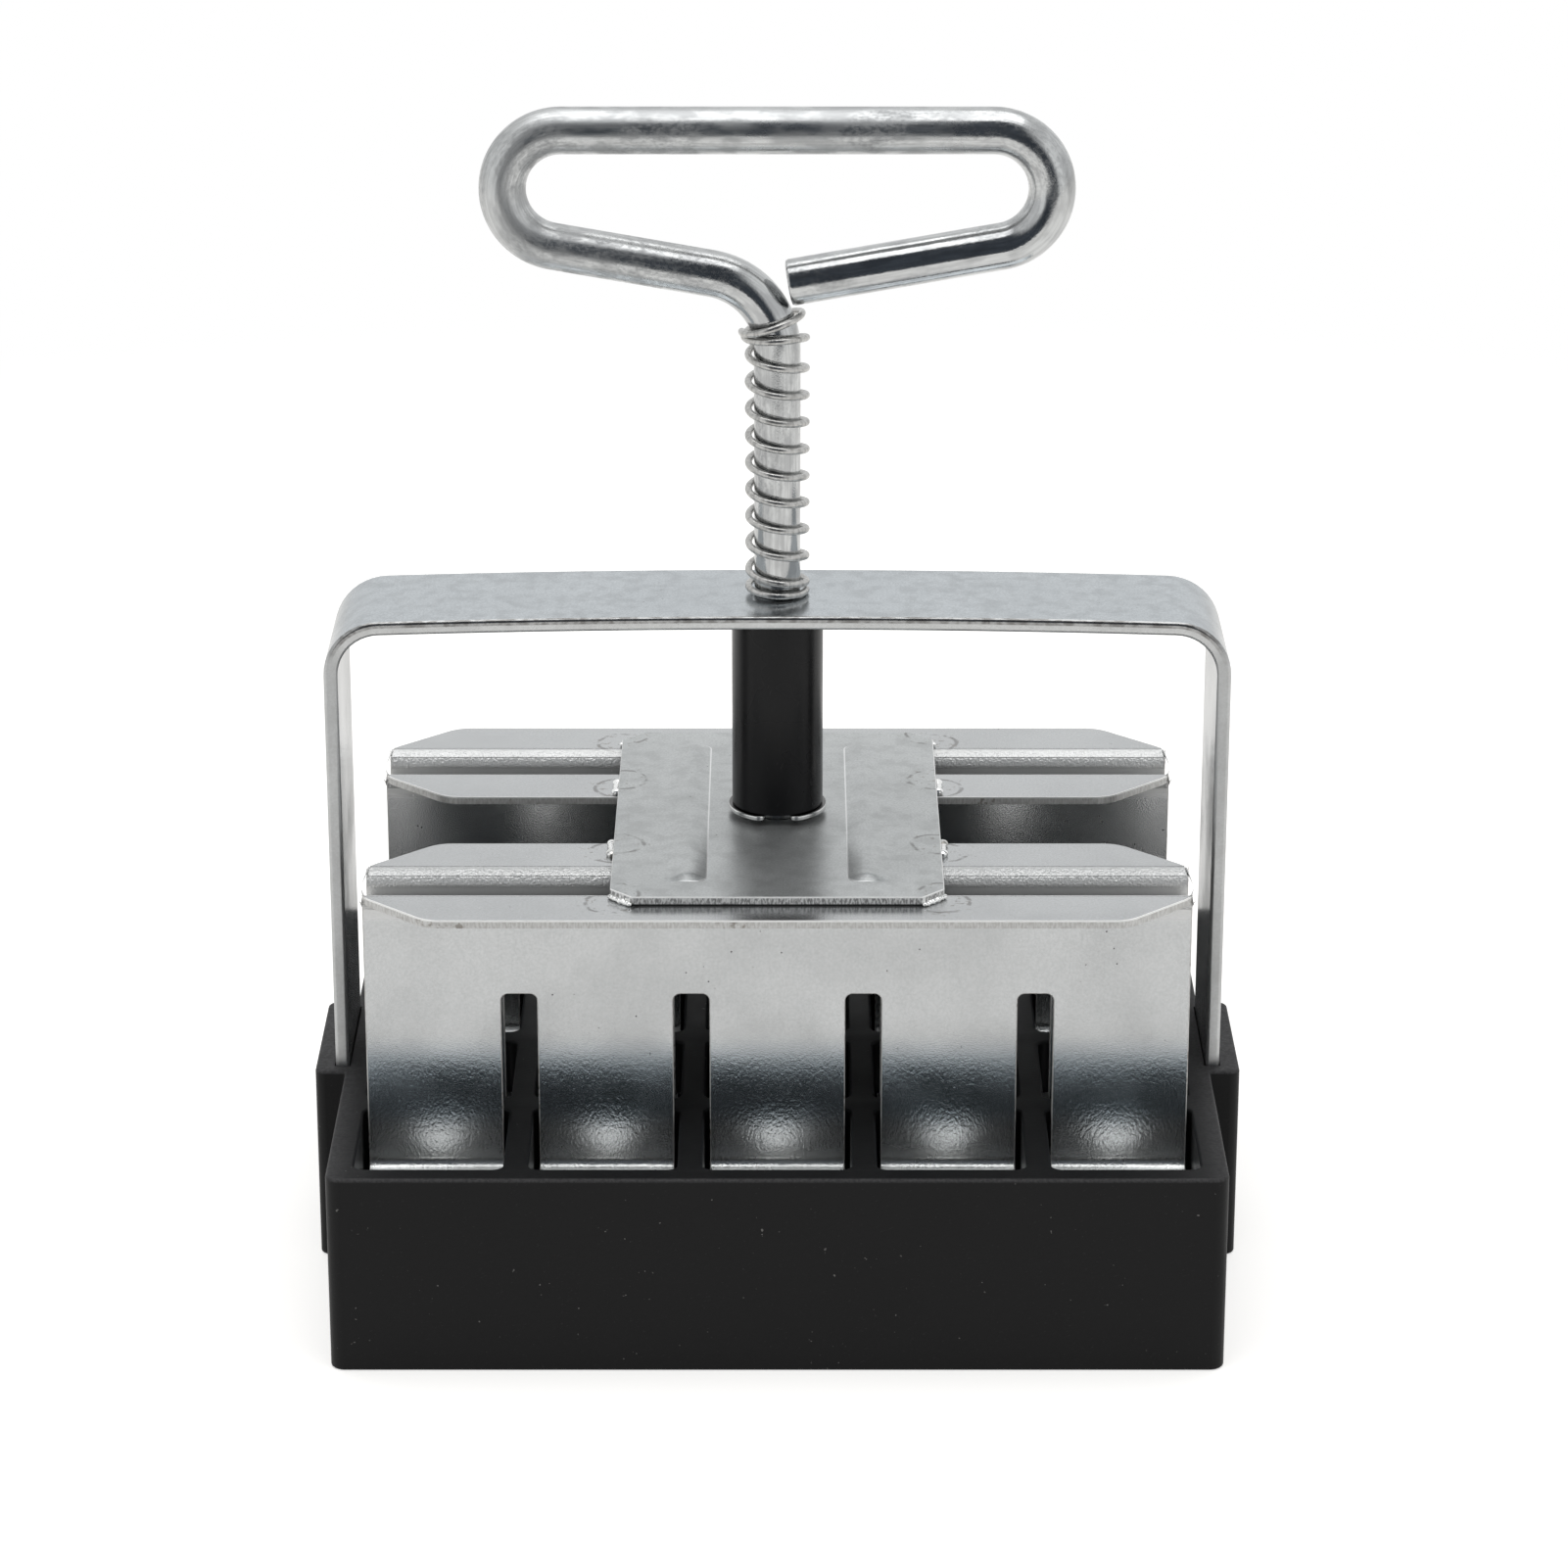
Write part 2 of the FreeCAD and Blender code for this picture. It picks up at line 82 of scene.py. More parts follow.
def plus(first, second):
    """Sum of two values or outputs."""
    return maths("ADD", first, second)


def minus(first, second):
    """Difference of two values or outputs."""
    return maths("SUBTRACT", first, second)


def larger(first, second):
    """Larger one of two values or outputs."""
    return maths("MAXIMUM", first, second)


def off(value, middle=None):
    """How far an output is from middle, or from 0."""
    return maths("ABSOLUTE", value if middle is None else minus(value, middle))


def ramp(value, low, high, at_low=0.0, at_high=1.0):
    """Output that eases from at_low to at_high while value goes from low to high."""
    return made(value.id_data, "ShaderNodeMapRange", {0: value, 1: low, 2: high, 3: at_low, 4: at_high},
                interpolation_type="SMOOTHSTEP")


def fall(value, low, high):
    """Output that eases from 1 to 0 while value goes from low to high."""
    return ramp(value, low, high, 1.0, 0.0)


def coated(colour, *coats):
    """Colour under coats given as (how much, colour); a colour is an output or (red, green, blue)."""
    for amount, coat in coats:
        under, over = [(*part[:3], 1) if isinstance(part, tuple) else part for part in (colour, coat)]
        mix = add(amount.id_data, "ShaderNodeMix", {0: amount, 6: under, 7: over}, data_type="RGBA")
        colour = mix.outputs[2]
    return colour


def axes(place):
    """X, Y and Z of coordinates."""
    return add(place.id_data, "ShaderNodeSeparateXYZ", {0: place}).outputs


def new_piece(name, data):
    """Object for a mesh, a curve, a lamp or a camera, in the scene."""
    piece = bpy.data.objects.new(name, data)
    bpy.context.scene.collection.objects.link(piece)
    return piece


WHITE = (1.0, 1.0, 1.0, 1.0)
ROOM_LIGHT = 0.55         # strength of the room on matt surfaces
ROOM_WHITE = (0.93, 0.94, 0.945, 1.0)
ROOM_DARK = (0.055, 0.065, 0.08, 1.0)
DARK_FRONT = (-0.12, -0.02)             # the dark part lies towards -Y,
DARK_SIDES = (0.35, 0.65)               # this far to either side,
DARK_TOP = (0.84, 0.90)                 # and up to this height

room = bpy.data.worlds.new("studio_room")
bpy.context.scene.world = room
room.use_nodes = True
tree = room.node_tree
tree.nodes.clear()
towards = axes(add(tree, "ShaderNodeTexCoord").outputs["Generated"])
dark = times(fall(towards["Y"], *DARK_FRONT), fall(off(towards["X"]), *DARK_SIDES),
             fall(towards["Z"], *DARK_TOP))
ray = add(tree, "ShaderNodeLightPath").outputs
seen = plus(ray["Is Camera Ray"], plus(ray["Is Glossy Ray"], ray["Is Transmission Ray"]))
view = coated(ROOM_WHITE, (dark, ROOM_DARK), (ray["Is Camera Ray"], WHITE))
backdrop = made(tree, "ShaderNodeBackground", {"Color": view, "Strength": 1.0})
glow = made(tree, "ShaderNodeBackground", {"Color": ROOM_WHITE, "Strength": ROOM_LIGHT})
either = made(tree, "ShaderNodeMixShader", {0: seen, 1: glow, 2: backdrop})
add(tree, "ShaderNodeOutputWorld", {"Surface": either})

TABLE_HALF = 3.0
TABLE_FRONT = -0.5
TABLE_COLOUR = (0.88, 0.865, 0.84, 1.0)
TABLE_GLOW, TABLE_GLOW_MIRRORED = 0.5, 0.36
TABLE_FADE = (0.3, 0.5)   # distances from the middle between which the table fades to white

table_mesh = bpy.data.meshes.new("studio_table")
table_mesh.from_pydata([(-TABLE_HALF, TABLE_FRONT, 0), (TABLE_HALF, TABLE_FRONT, 0),
                        (TABLE_HALF, TABLE_HALF, 0), (-TABLE_HALF, TABLE_HALF, 0)], [], [(0, 1, 2, 3)])
table_finish = bpy.data.materials.new("pale_table")
table_finish.use_nodes = True
tree = table_finish.node_tree
tree.nodes.clear()
ray = add(tree, "ShaderNodeLightPath").outputs
glowing = plus(times(ray["Is Camera Ray"], TABLE_GLOW),
               times(TABLE_GLOW_MIRRORED, plus(ray["Is Glossy Ray"], ray["Is Transmission Ray"])))
matt = made(tree, "ShaderNodeBsdfDiffuse", {"Color": TABLE_COLOUR})
glow = made(tree, "ShaderNodeEmission", {"Color": WHITE, "Strength": glowing})
both = made(tree, "ShaderNodeAddShader", {0: matt, 1: glow})
away = add(tree, "ShaderNodeVectorMath", {0: add(tree, "ShaderNodeTexCoord").outputs["Object"]},
           operation="LENGTH").outputs["Value"]
faded = times(ramp(away, *TABLE_FADE), ray["Is Camera Ray"])
plain = made(tree, "ShaderNodeEmission", {"Color": WHITE, "Strength": 1.0})
spread = made(tree, "ShaderNodeMixShader", {0: faded, 1: both, 2: plain})
add(tree, "ShaderNodeOutputMaterial", {"Surface": spread})
table_mesh.materials.append(table_finish)
table = new_piece("studio_table", table_mesh)

LAMP_SIZE = 1.3
LAMP_HEIGHT = 1.25
LAMP_POWER = 7.5
lamp_data = bpy.data.lights.new("overhead_softbox", "AREA")
lamp_data.size = LAMP_SIZE
lamp_data.energy = LAMP_POWER
lamp = new_piece("overhead_softbox", lamp_data)
lamp.location = (0, 0, LAMP_HEIGHT)
lamp.visible_camera = False

CAMERA_PLACE = (0.00093, -0.7027, 0.3308)
CAMERA_TILT = 69.507      # degrees from straight down
CAMERA_LENS, CAMERA_SENSOR = 120.41, 36
camera_data = bpy.data.cameras.new("studio_camera")
camera_data.lens = CAMERA_LENS
camera_data.sensor_width = CAMERA_SENSOR
camera = new_piece("studio_camera", camera_data)
camera.location = CAMERA_PLACE
camera.rotation_euler = (radians(CAMERA_TILT), 0, 0)
bpy.context.scene.camera = camera
bpy.context.scene.view_settings.view_transform = "Standard"


# ---------- moulded base
# Injection-moulded black plastic: five by four square cells open at both ends, with an ear on
# each end whose pocket takes the leg of the strap. Satin, scuffed a little on the top rim.

MM = 0.001                # pieces are drawn in millimetres and brought to metres when finished
SHARP_FROM = 40           # degrees between two faces from which their edge stays sharp
SAME_PLACE = 0.002        # points of a slab that are nearer than this are one


def piece_of(skin, name, *finishes):
    """Object for a bmesh, which is used up."""
    mesh = bpy.data.meshes.new(name)
    skin.to_mesh(mesh)
    skin.free()
    for finish in finishes:
        mesh.materials.append(finish)
    return new_piece(name, mesh)


def worked(piece, *steps):
    """The piece as a plain mesh, after modifiers given as (kind, settings)."""
    for kind, settings in steps:
        modifier = piece.modifiers.new(kind.title(), kind)
        for key, value in settings.items():
            setattr(modifier, key, value)
    graph = bpy.context.evaluated_depsgraph_get()
    mesh = bpy.data.meshes.new_from_object(piece.evaluated_get(graph), depsgraph=graph)
    name = piece.name
    bpy.data.objects.remove(piece)
    return new_piece(name, mesh)


def cut_out(piece, *cutters):
    """Take the cutters' solids out of the piece."""
    steps = [("BOOLEAN", {"object": cutter, "operation": "DIFFERENCE", "solver": "EXACT"})
             for cutter in cutters]
    piece = worked(piece, *steps)
    for cutter in cutters:
        bpy.data.objects.remove(cutter)
    return piece


def finished(piece, body, slot, node, *finishes):
    """Smooth the piece, bring it to metres, and hand it over with its finishes."""
    mesh = piece.data
    mesh.shade_smooth()
    mesh.set_sharp_from_angle(angle=radians(SHARP_FROM))
    piece = worked(piece, ("WEIGHTED_NORMAL", {"keep_sharp": True}))
    for vertex in piece.data.vertices:
        vertex.co *= MM
    finish_of = [0] * len(piece.data.polygons)
    if len(finishes) > 1:
        piece.data.polygons.foreach_get("material_index", finish_of)
    piece.data.materials.clear()
    for finish in finishes:
        piece.data.materials.append(finish)
    piece.data.polygons.foreach_set("material_index", finish_of)
    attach(piece, body)
    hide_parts(node)


def rounded(corners, steps=6):
    """Outline through corners (x, y, radius), anticlockwise, with each corner rounded."""
    outline = []
    for index, (x, y, radius) in enumerate(corners):
        corner = Vector((x, y))
        if radius == 0:
            outline.append(corner)
            continue
        before = (Vector(corners[index - 1][:2]) - corner).normalized()
        after = (Vector(corners[(index + 1) % len(corners)][:2]) - corner).normalized()
        half = before.angle(after) / 2
        centre = corner + (before + after).normalized() * (radius / sin(half))
        start = corner + before * (radius / tan(half)) - centre
        end = corner + after * (radius / tan(half)) - centre
        for step in range(steps + 1):
            spoke = start.lerp(end, step / steps).normalized()
            outline.append(centre + spoke * radius)
    return outline


def box_outline(x, y, half_x, half_y, radius=0.0, steps=6):
    """Outline of a rectangle round (x, y), with rounded corners."""
    return rounded([(x + right * half_x, y + up * half_y, radius)
                    for right, up in ((-1, -1), (1, -1), (1, 1), (-1, 1))], steps)


def slab(name, outlines, bottom, top, edge):
    """Flat piece with rounded edges: the first outline, with the others as openings."""
    curve = bpy.data.curves.new(name, "CURVE")
    curve.dimensions = "2D"
    curve.fill_mode = "BOTH"
    curve.extrude = (top - bottom) / 2 - edge
    curve.bevel_depth = edge
    curve.bevel_resolution = 2
    curve.offset = -edge
    for outline in outlines:
        spline = curve.splines.new("POLY")
        spline.points.add(len(outline) - 1)
        for point, place in zip(spline.points, outline):
            point.co = (*place, 0, 1)
        spline.use_cyclic_u = True
    piece = worked(new_piece(name, curve))
    skin = bmesh.new()
    skin.from_mesh(piece.data)
    bmesh.ops.remove_doubles(skin, verts=skin.verts, dist=SAME_PLACE)
    bmesh.ops.recalc_face_normals(skin, faces=skin.faces)
    for vertex in skin.verts:
        vertex.co.z += (top + bottom) / 2
    skin.to_mesh(piece.data)
    skin.free()
    return piece


def pin(name, radius, start, end, sides=48):
    """Plain round cutter between two points."""
    start, end = Vector(start), Vector(end)
    skin = bmesh.new()
    bmesh.ops.create_cone(skin, cap_ends=True, segments=sides, radius1=radius, radius2=radius,
                          depth=(end - start).length)
    turn = (end - start).to_track_quat("Z", "Y").to_matrix().to_4x4()
    bmesh.ops.transform(skin, matrix=turn, verts=skin.verts)
    bmesh.ops.translate(skin, vec=(start + end) / 2, verts=skin.verts)
    return piece_of(skin, name)


PITCH = 24.0
COLUMNS = [(i - 2) * PITCH for i in range(5)]
ROWS = [(i - 1.5) * PITCH for i in range(4)]
CELL, CELL_CORNER_R = 20.5, 1.5
BASE_X, BASE_Y, BASE_HEIGHT = 62.0, 50.0, 29.0
BASE_CORNER_R, BASE_EDGE = 2.0, 0.4
EAR_X, EAR_Y, EAR_CORNER_R, EAR_ROOT_R = 66.35, 13.0, 1.5, 0.3
POCKET_X, POCKET_HALF_X, POCKET_HALF_Y, POCKET_FLOOR = 62.5, 1.15, 10.9, 4.0
SCREW_HEIGHT, SCREW_HOLE_R, SCREW_SEAT_R, SCREW_SEAT_DEPTH = 12.0, 1.55, 3.05, 1.5
SCREW_INNER_X, OUTSIDE_X = 59.3, 68.0

half_outline = [(-BASE_X, -BASE_Y, BASE_CORNER_R), (BASE_X, -BASE_Y, BASE_CORNER_R),
                (BASE_X, -EAR_Y, EAR_ROOT_R), (EAR_X, -EAR_Y, EAR_CORNER_R), (EAR_X, EAR_Y, EAR_CORNER_R),
                (BASE_X, EAR_Y, EAR_ROOT_R)]
edge_of_base = rounded(half_outline + [(-x, -y, radius) for x, y, radius in half_outline])
cells = [box_outline(x, y, CELL / 2, CELL / 2, CELL_CORNER_R) for x in COLUMNS for y in ROWS]
base = slab("moulded_base", [edge_of_base] + cells, 0, BASE_HEIGHT, BASE_EDGE)
cutters = []
for side in (-1, 1):
    outside = (side * OUTSIDE_X, 0, SCREW_HEIGHT)
    cutters.append(slab("pocket", [box_outline(side * POCKET_X, 0, POCKET_HALF_X, POCKET_HALF_Y)],
                        POCKET_FLOOR, BASE_HEIGHT + 5, 0.01))
    cutters.append(pin("screw_hole", SCREW_HOLE_R, (side * SCREW_INNER_X, 0, SCREW_HEIGHT), outside))
    cutters.append(pin("screw_seat", SCREW_SEAT_R, (side * (EAR_X - SCREW_SEAT_DEPTH), 0, SCREW_HEIGHT),
                       outside))
base = cut_out(base, *cutters)


def opened(finish):
    """Shader and Object coordinates of a finish."""
    tree = finish.node_tree
    return tree.nodes["Principled BSDF"], add(tree, "ShaderNodeTexCoord").outputs["Object"]


def new_finish(name, **constants):
    """A material with constants for its shader, its shader and its Object coordinates."""
    finish = bpy.data.materials.new(name)
    finish.use_nodes = True
    shader, place = opened(finish)
    for key, value in constants.items():
        shader.inputs[key.replace("_", " ")].default_value = value
    return finish, shader, place


def stretched(place, stretch, turn=(0, 0, 0)):
    """Coordinates turned and then stretched, so that grain on them makes streaks."""
    turned = made(place.id_data, "ShaderNodeMapping", {"Vector": place, "Rotation": turn})
    return made(place.id_data, "ShaderNodeVectorMath", {0: turned, 1: stretch}, operation="MULTIPLY")


def grain(place, size, detail=2.0, stretch=None):
    """Noise whose lumps are about size millimetres, on coordinates in metres."""
    if stretch:
        place = stretched(place, stretch)
    return made(place.id_data, "ShaderNodeTexNoise",
                {"Vector": place, "Scale": 1 / (size * MM), "Detail": detail})


def scratches(place, length, width, turn, amount):
    """Thin broken lines along X after the turn; amount is how many there are, from 0 to 1."""
    lines = grain(stretched(place, (1 / length, 1 / width, 1 / width), turn), 1.0, 0.0)
    return ramp(lines, 0.86 - 0.2 * amount, 0.93 - 0.2 * amount)


def fed(shader, name):
    """Output that feeds one of the shader's inputs, if any."""
    links = shader.inputs[name].links
    return links[0].from_socket if links else None


def feed(shader, colour=None, roughness=None, heights=(), metallic=None):
    """Link outputs to the shader; heights are (output, depth in micrometres)."""
    normal = fed(shader, "Normal")
    for height, depth in heights:
        inputs = {"Height": height, "Distance": depth * MM * MM, "Strength": 1.0}
        if normal is not None:
            inputs["Normal"] = normal
        normal = made(height.id_data, "ShaderNodeBump", inputs)
    for name, output in (("Base Color", colour), ("Roughness", roughness), ("Normal", normal),
                         ("Metallic", metallic)):
        if output is not None:
            shader.id_data.links.new(output, shader.inputs[name])


BLACK, BLACK_CLOUDS = (0.0082, 0.0082, 0.0088), (0.0118, 0.0118, 0.0122)
RIM_DUST_AND_HIGHLIGHT, SCUFFED_BLACK, DUST = (0.070, 0.069, 0.071), (0.06, 0.06, 0.06), (0.19, 0.185, 0.18)

black_moulding, shader, place = new_finish("satin_black_moulding", IOR=1.47, Specular_IOR_Level=0.16)
at = axes(place)
rim = ramp(at["Z"], (BASE_HEIGHT - 0.5) * MM, (BASE_HEIGHT - 0.2) * MM)
texture = grain(place, 0.45, 3.0)
clouds = grain(place, 14.0, 3.0)
specks = ramp(grain(place, 0.62, 1.0), 0.755, 0.80)
specks = times(specks, ramp(grain(place, 7.0), 0.5, 0.62))
scuffs = scratches(place, 9.0, 0.12, (0, 0.35, 0.2), 0.45)
# The rim is lighter towards the ends as dust. Along the front and back top edges it is painted lighter as a
# painted highlight.
outer = larger(ramp(off(at["X"]), 57.5 * MM, 64.0 * MM, 0.02, 1.0),
               ramp(off(at["Y"]), 49.2 * MM, 49.6 * MM, 0.0, 0.8))
dust_and_edge_highlight = times(rim, outer, ramp(texture, 0.3, 0.7, 0.5, 1.0))
feed(shader, coated(BLACK, (clouds, BLACK_CLOUDS), (dust_and_edge_highlight, RIM_DUST_AND_HIGHLIGHT), (times(scuffs, 0.2), SCUFFED_BLACK),
                    (times(specks, 0.8), DUST)),
     plus(times(rim, 0.14), ramp(clouds, 0.3, 0.7, 0.36, 0.46)), [(texture, 22.0), (scuffs, -6.0)])

finished(base, "frame", "moulded_black", "mould_base", black_moulding)


# ---------- screws in the ears
# One countersunk zinc-plated steel screw through each ear and into the leg of the strap, driven
# flush, with a cross recess.

PIT_COLOUR = (0.12, 0.115, 0.11)


def zinc_plating(name, colour, roughness, stretch, depth, flecks, wear=1.0):
    """Zinc-plated steel: cloudy, finely pitted and scratched along stretch (x, y, z)."""
    finish, shader, place = new_finish(name, Metallic=1.0)
    dark = tuple(0.62 * part for part in colour)
    light = tuple(min(1.0, 1.06 * part) for part in colour)
    clouds = grain(place, 13.0, 4.0)
    peel = grain(place, 0.55)
    grit = grain(place, 0.32)
    smudges = grain(place, 2.6, 5.0)
    streaks = grain(place, 0.5, 3.0, stretch)
    cells = made(place.id_data, "ShaderNodeTexVoronoi", {"Vector": place, "Scale": 1 / (2.2 * MM)})
    pits = times(fall(cells, 0.035, 0.075), ramp(clouds, 0.48, 0.60))
    marks = times(larger(scratches(place, 6.0, 0.10, (0.2, 0.3, 0.5), 0.5),
                         scratches(place, 9.0, 0.12, (0.1, 0.2, -0.9), 0.35)), wear)
    shade = coated(light, (ramp(clouds, 0.3, 0.7), colour),
                   (ramp(grit, 0.3, 0.7, 0.0, 0.2 + 0.25 * wear), dark),
                   (times(ramp(smudges, 0.42, 0.68), 0.42 * wear), dark),
                   (ramp(streaks, 0.55, 0.85, 0.0, flecks), dark), (times(marks, 0.5), dark),
                   (times(pits, 0.75), PIT_COLOUR))
    gloss = plus(ramp(clouds, 0.3, 0.7, roughness - 0.04, roughness + 0.05), times(pits, 0.3))
    feed(shader, shade, gloss, [(peel, depth), (streaks, depth * 0.5), (marks, -3.0 * wear), (pits, -12.0)])
    return finish


screw_zinc = zinc_plating("screw_zinc", (0.55, 0.56, 0.56), 0.3, (1, 1, 1), 2.0, 0.3)
for name in ("left_leg_screw", "right_leg_screw"):
    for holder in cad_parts[name].material_slots:
        holder.material = screw_zinc


# ---------- finger plates
# Four plates cut from 1.2 mm zinc-plated sheet, one for each row of cells: slotted into five
# fingers, dimpled in the feet, then bent at the flange and at the feet. The edges are sheared.

SHEET = 1.2
SHEET_TOP = 62.7
SHEET_HALF = 57.5
FLANGE_DEPTH, FLANGE_BEND_R, FLANGE_TAPER = 11.3, 2.4, 9.5
FLANGE_CORNER_R, BEND_CORNER_R = 5.0, 4.0
BLOCK_HEIGHT = 20.0
FOOT_DEPTH, FOOT_BEND_R, FOOT_CORNER_R = 18.2, 2.8, 0.6
SLOT_TOP, SLOT_CORNER_R = 47.6, 1.0
FINGER = 19.0
DIVIDER_TO_MIDDLE = 8.6
DIMPLE_BACK, DIMPLE_R, DIMPLE_DEPTH = 10.1, 6.9, 2.8
DIMPLE_RINGS = (0.94, 0.86, 0.75, 0.6, 0.42, 0.2)       # shares of the dimple's radius
DIMPLE_SIDES = 32
BEND_STEPS = 7
SHEARED_BEVEL = 0.16
HAIR = 0.01               # a length too small to matter

# Lengths along the middle of the sheet, from the free edge of the flange to the tip of a foot.
top_bend_r = FLANGE_BEND_R - SHEET / 2
foot_bend_r = FOOT_BEND_R - SHEET / 2
top_bend = FLANGE_DEPTH - FLANGE_BEND_R
upright = top_bend + top_bend_r * pi / 2
upright_top = SHEET_TOP - FLANGE_BEND_R
foot_bend = upright + upright_top - (BLOCK_HEIGHT + FOOT_BEND_R)
foot = foot_bend + foot_bend_r * pi / 2
tip = foot + FOOT_DEPTH - FOOT_BEND_R
slot_end = upright + upright_top - SLOT_TOP
dimple_along = foot + DIMPLE_BACK - FOOT_BEND_R


def bent(along):
    """Place (y, z) of a point on the middle of the sheet, back face at y = 0."""
    if along <= top_bend:
        return along - FLANGE_DEPTH, SHEET_TOP - SHEET / 2
    if along < upright:
        turn = (along - top_bend) / top_bend_r
        return (-FLANGE_BEND_R + top_bend_r * sin(turn),
                SHEET_TOP - FLANGE_BEND_R + top_bend_r * cos(turn))
    if along <= foot_bend:
        return -SHEET / 2, upright_top - (along - upright)
    if along < foot:
        turn = (along - foot_bend) / foot_bend_r
        return (-FOOT_BEND_R + foot_bend_r * cos(turn),
                BLOCK_HEIGHT + FOOT_BEND_R - foot_bend_r * sin(turn))
    return -FOOT_BEND_R - (along - foot), BLOCK_HEIGHT + SHEET / 2


def circle(x, y, radius, sides):
    """Points (x, y) on a circle."""
    turns = [2 * pi * side / sides for side in range(sides)]
    return [(x + radius * cos(turn), y + radius * sin(turn)) for turn in turns]


def loop_of(skin, points):
    """Closed loop of vertices and edges."""
    verts = [skin.verts.new((*point, 0)) for point in points]
    for first, second in zip(verts, verts[1:] + verts[:1]):
        skin.edges.new((first, second))
    return verts


def wrap(skin, rings):
    """Faces between each ring of vertices and the next."""
    for first, second in zip(rings, rings[1:]):
        for side in range(len(first)):
            after = (side + 1) % len(first)
            skin.faces.new((first[side], first[after], second[after], second[side]))


def merge_flats(skin):
    """Join the faces of a blank that lie in one plane."""
    bmesh.ops.recalc_face_normals(skin, faces=skin.faces)
    bmesh.ops.dissolve_limit(skin, angle_limit=0.002, verts=skin.verts, edges=skin.edges,
                             use_dissolve_boundaries=False)


def thickened(piece, thickness, bevel, sharpness, **solidify):
    """Thick plate from a thin one, its bevelled edges in its second finish."""
    return worked(piece, ("SOLIDIFY", {"thickness": thickness, "material_offset_rim": 1, **solidify}),
                  ("BEVEL", {"width": bevel, "segments": 2, "limit_method": "ANGLE", "material": 1,
                             "angle_limit": radians(sharpness), "use_clamp_overlap": False}))


def flat_blank():
    """Corners (x, along, radius) of a finger plate before it is bent."""
    corners = [(-SHEET_HALF + FLANGE_TAPER, 0, FLANGE_CORNER_R),
               (SHEET_HALF - FLANGE_TAPER, 0, FLANGE_CORNER_R), (SHEET_HALF, top_bend, BEND_CORNER_R)]
    for x in reversed(COLUMNS):
        if x < COLUMNS[-1]:
            corners.append((x + FINGER / 2, slot_end, SLOT_CORNER_R))
        corners += [(x + FINGER / 2, tip, FOOT_CORNER_R), (x - FINGER / 2, tip, FOOT_CORNER_R)]
        if x > COLUMNS[0]:
            corners.append((x - FINGER / 2, slot_end, SLOT_CORNER_R))
    return corners + [(-SHEET_HALF, top_bend, BEND_CORNER_R)]


def finger_plate(name, back, facing):
    """One plate; back is where its back face stands, facing is the way its feet point."""
    blank = bmesh.new()
    bend_mark = blank.verts.layers.float.new("bend")
    loop_of(blank, rounded(flat_blank()))
    rims = [loop_of(blank, circle(x, dimple_along, DIMPLE_R, DIMPLE_SIDES)) for x in COLUMNS]
    bmesh.ops.triangle_fill(blank, use_beauty=True, edges=blank.edges[:])
    for start, end in ((top_bend, upright), (foot_bend, foot)):
        for step in range(BEND_STEPS + 1):
            bmesh.ops.bisect_plane(blank, geom=blank.verts[:] + blank.edges[:] + blank.faces[:],
                                   plane_co=(0, start + (end - start) * step / BEND_STEPS, 0),
                                   plane_no=(0, 1, 0), dist=1e-5)
    for x, rim in zip(COLUMNS, rims):
        rings = [rim]
        for share in DIMPLE_RINGS:
            depth = -DIMPLE_DEPTH * (1 - share ** 2) ** 1.25
            rings.append([blank.verts.new((*point, depth))
                          for point in circle(x, dimple_along, share * DIMPLE_R, DIMPLE_SIDES)])
        wrap(blank, rings)
        blank.faces.new(rings[-1])
    for vertex in blank.verts:
        x, along, depth = vertex.co
        y, z = bent(along)
        vertex[bend_mark] = float(top_bend + HAIR < along < upright - HAIR
                                  or foot_bend + HAIR < along < foot - HAIR)
        vertex.co = (-facing * x, back - facing * y, z + depth)
    merge_flats(blank)
    return thickened(piece_of(blank, name, bright_sheet, sheared_edge), SHEET, SHEARED_BEVEL, 50, offset=0.0,
                     use_even_offset=True)


WELD_X, WELD_ROW_Y, WELD_OFF_ROW = 22.8, 22.5, 9.5      # where the eight weld marks are, mirrored
WELD_MARK_R = 3.8
MARK_COLOUR, BURNT_COLOUR = (0.15, 0.145, 0.14), (0.20, 0.175, 0.15)
# Colours for the finger plates' painted bounce light, painted wall reflection and painted foot light.
PAINTED_BOUNCE_LIGHT, WALL_REFLECTION_SHADE, PAINTED_FOOT_LIGHT = (0.86, 0.86, 0.85), (0.40, 0.465, 0.515), (0.72, 0.73, 0.72)


def weld_rings(place):
    """Millimetres from the nearest of the eight welds, 1 on top of the flanges, and the marks."""
    at = axes(place)
    x = minus(off(at["X"]), WELD_X * MM)
    y = minus(off(off(at["Y"]), WELD_ROW_Y * MM), WELD_OFF_ROW * MM)
    away = maths("SQRT", plus(times(x, x), times(y, y)))
    away = plus(times(away, 1 / MM), ramp(grain(place, 4.0), 0, 1, -0.5, 0.5))
    high_up = ramp(at["Z"], (SHEET_TOP - 0.5) * MM, (SHEET_TOP - 0.2) * MM)
    ring = fall(off(away, WELD_MARK_R), 0.1, 0.42)
    broken = ramp(grain(place, 2.2), 0.42, 0.56)
    return away, high_up, times(ring, broken, high_up)


def mark(shader, name):
    """Outputs that read an attribute of the mesh."""
    return add(shader.id_data, "ShaderNodeAttribute", attribute_name=name).outputs


def recoated(shader, *coats):
    """The shader's colour under more coats."""
    return coated(fed(shader, "Base Color"), *coats)


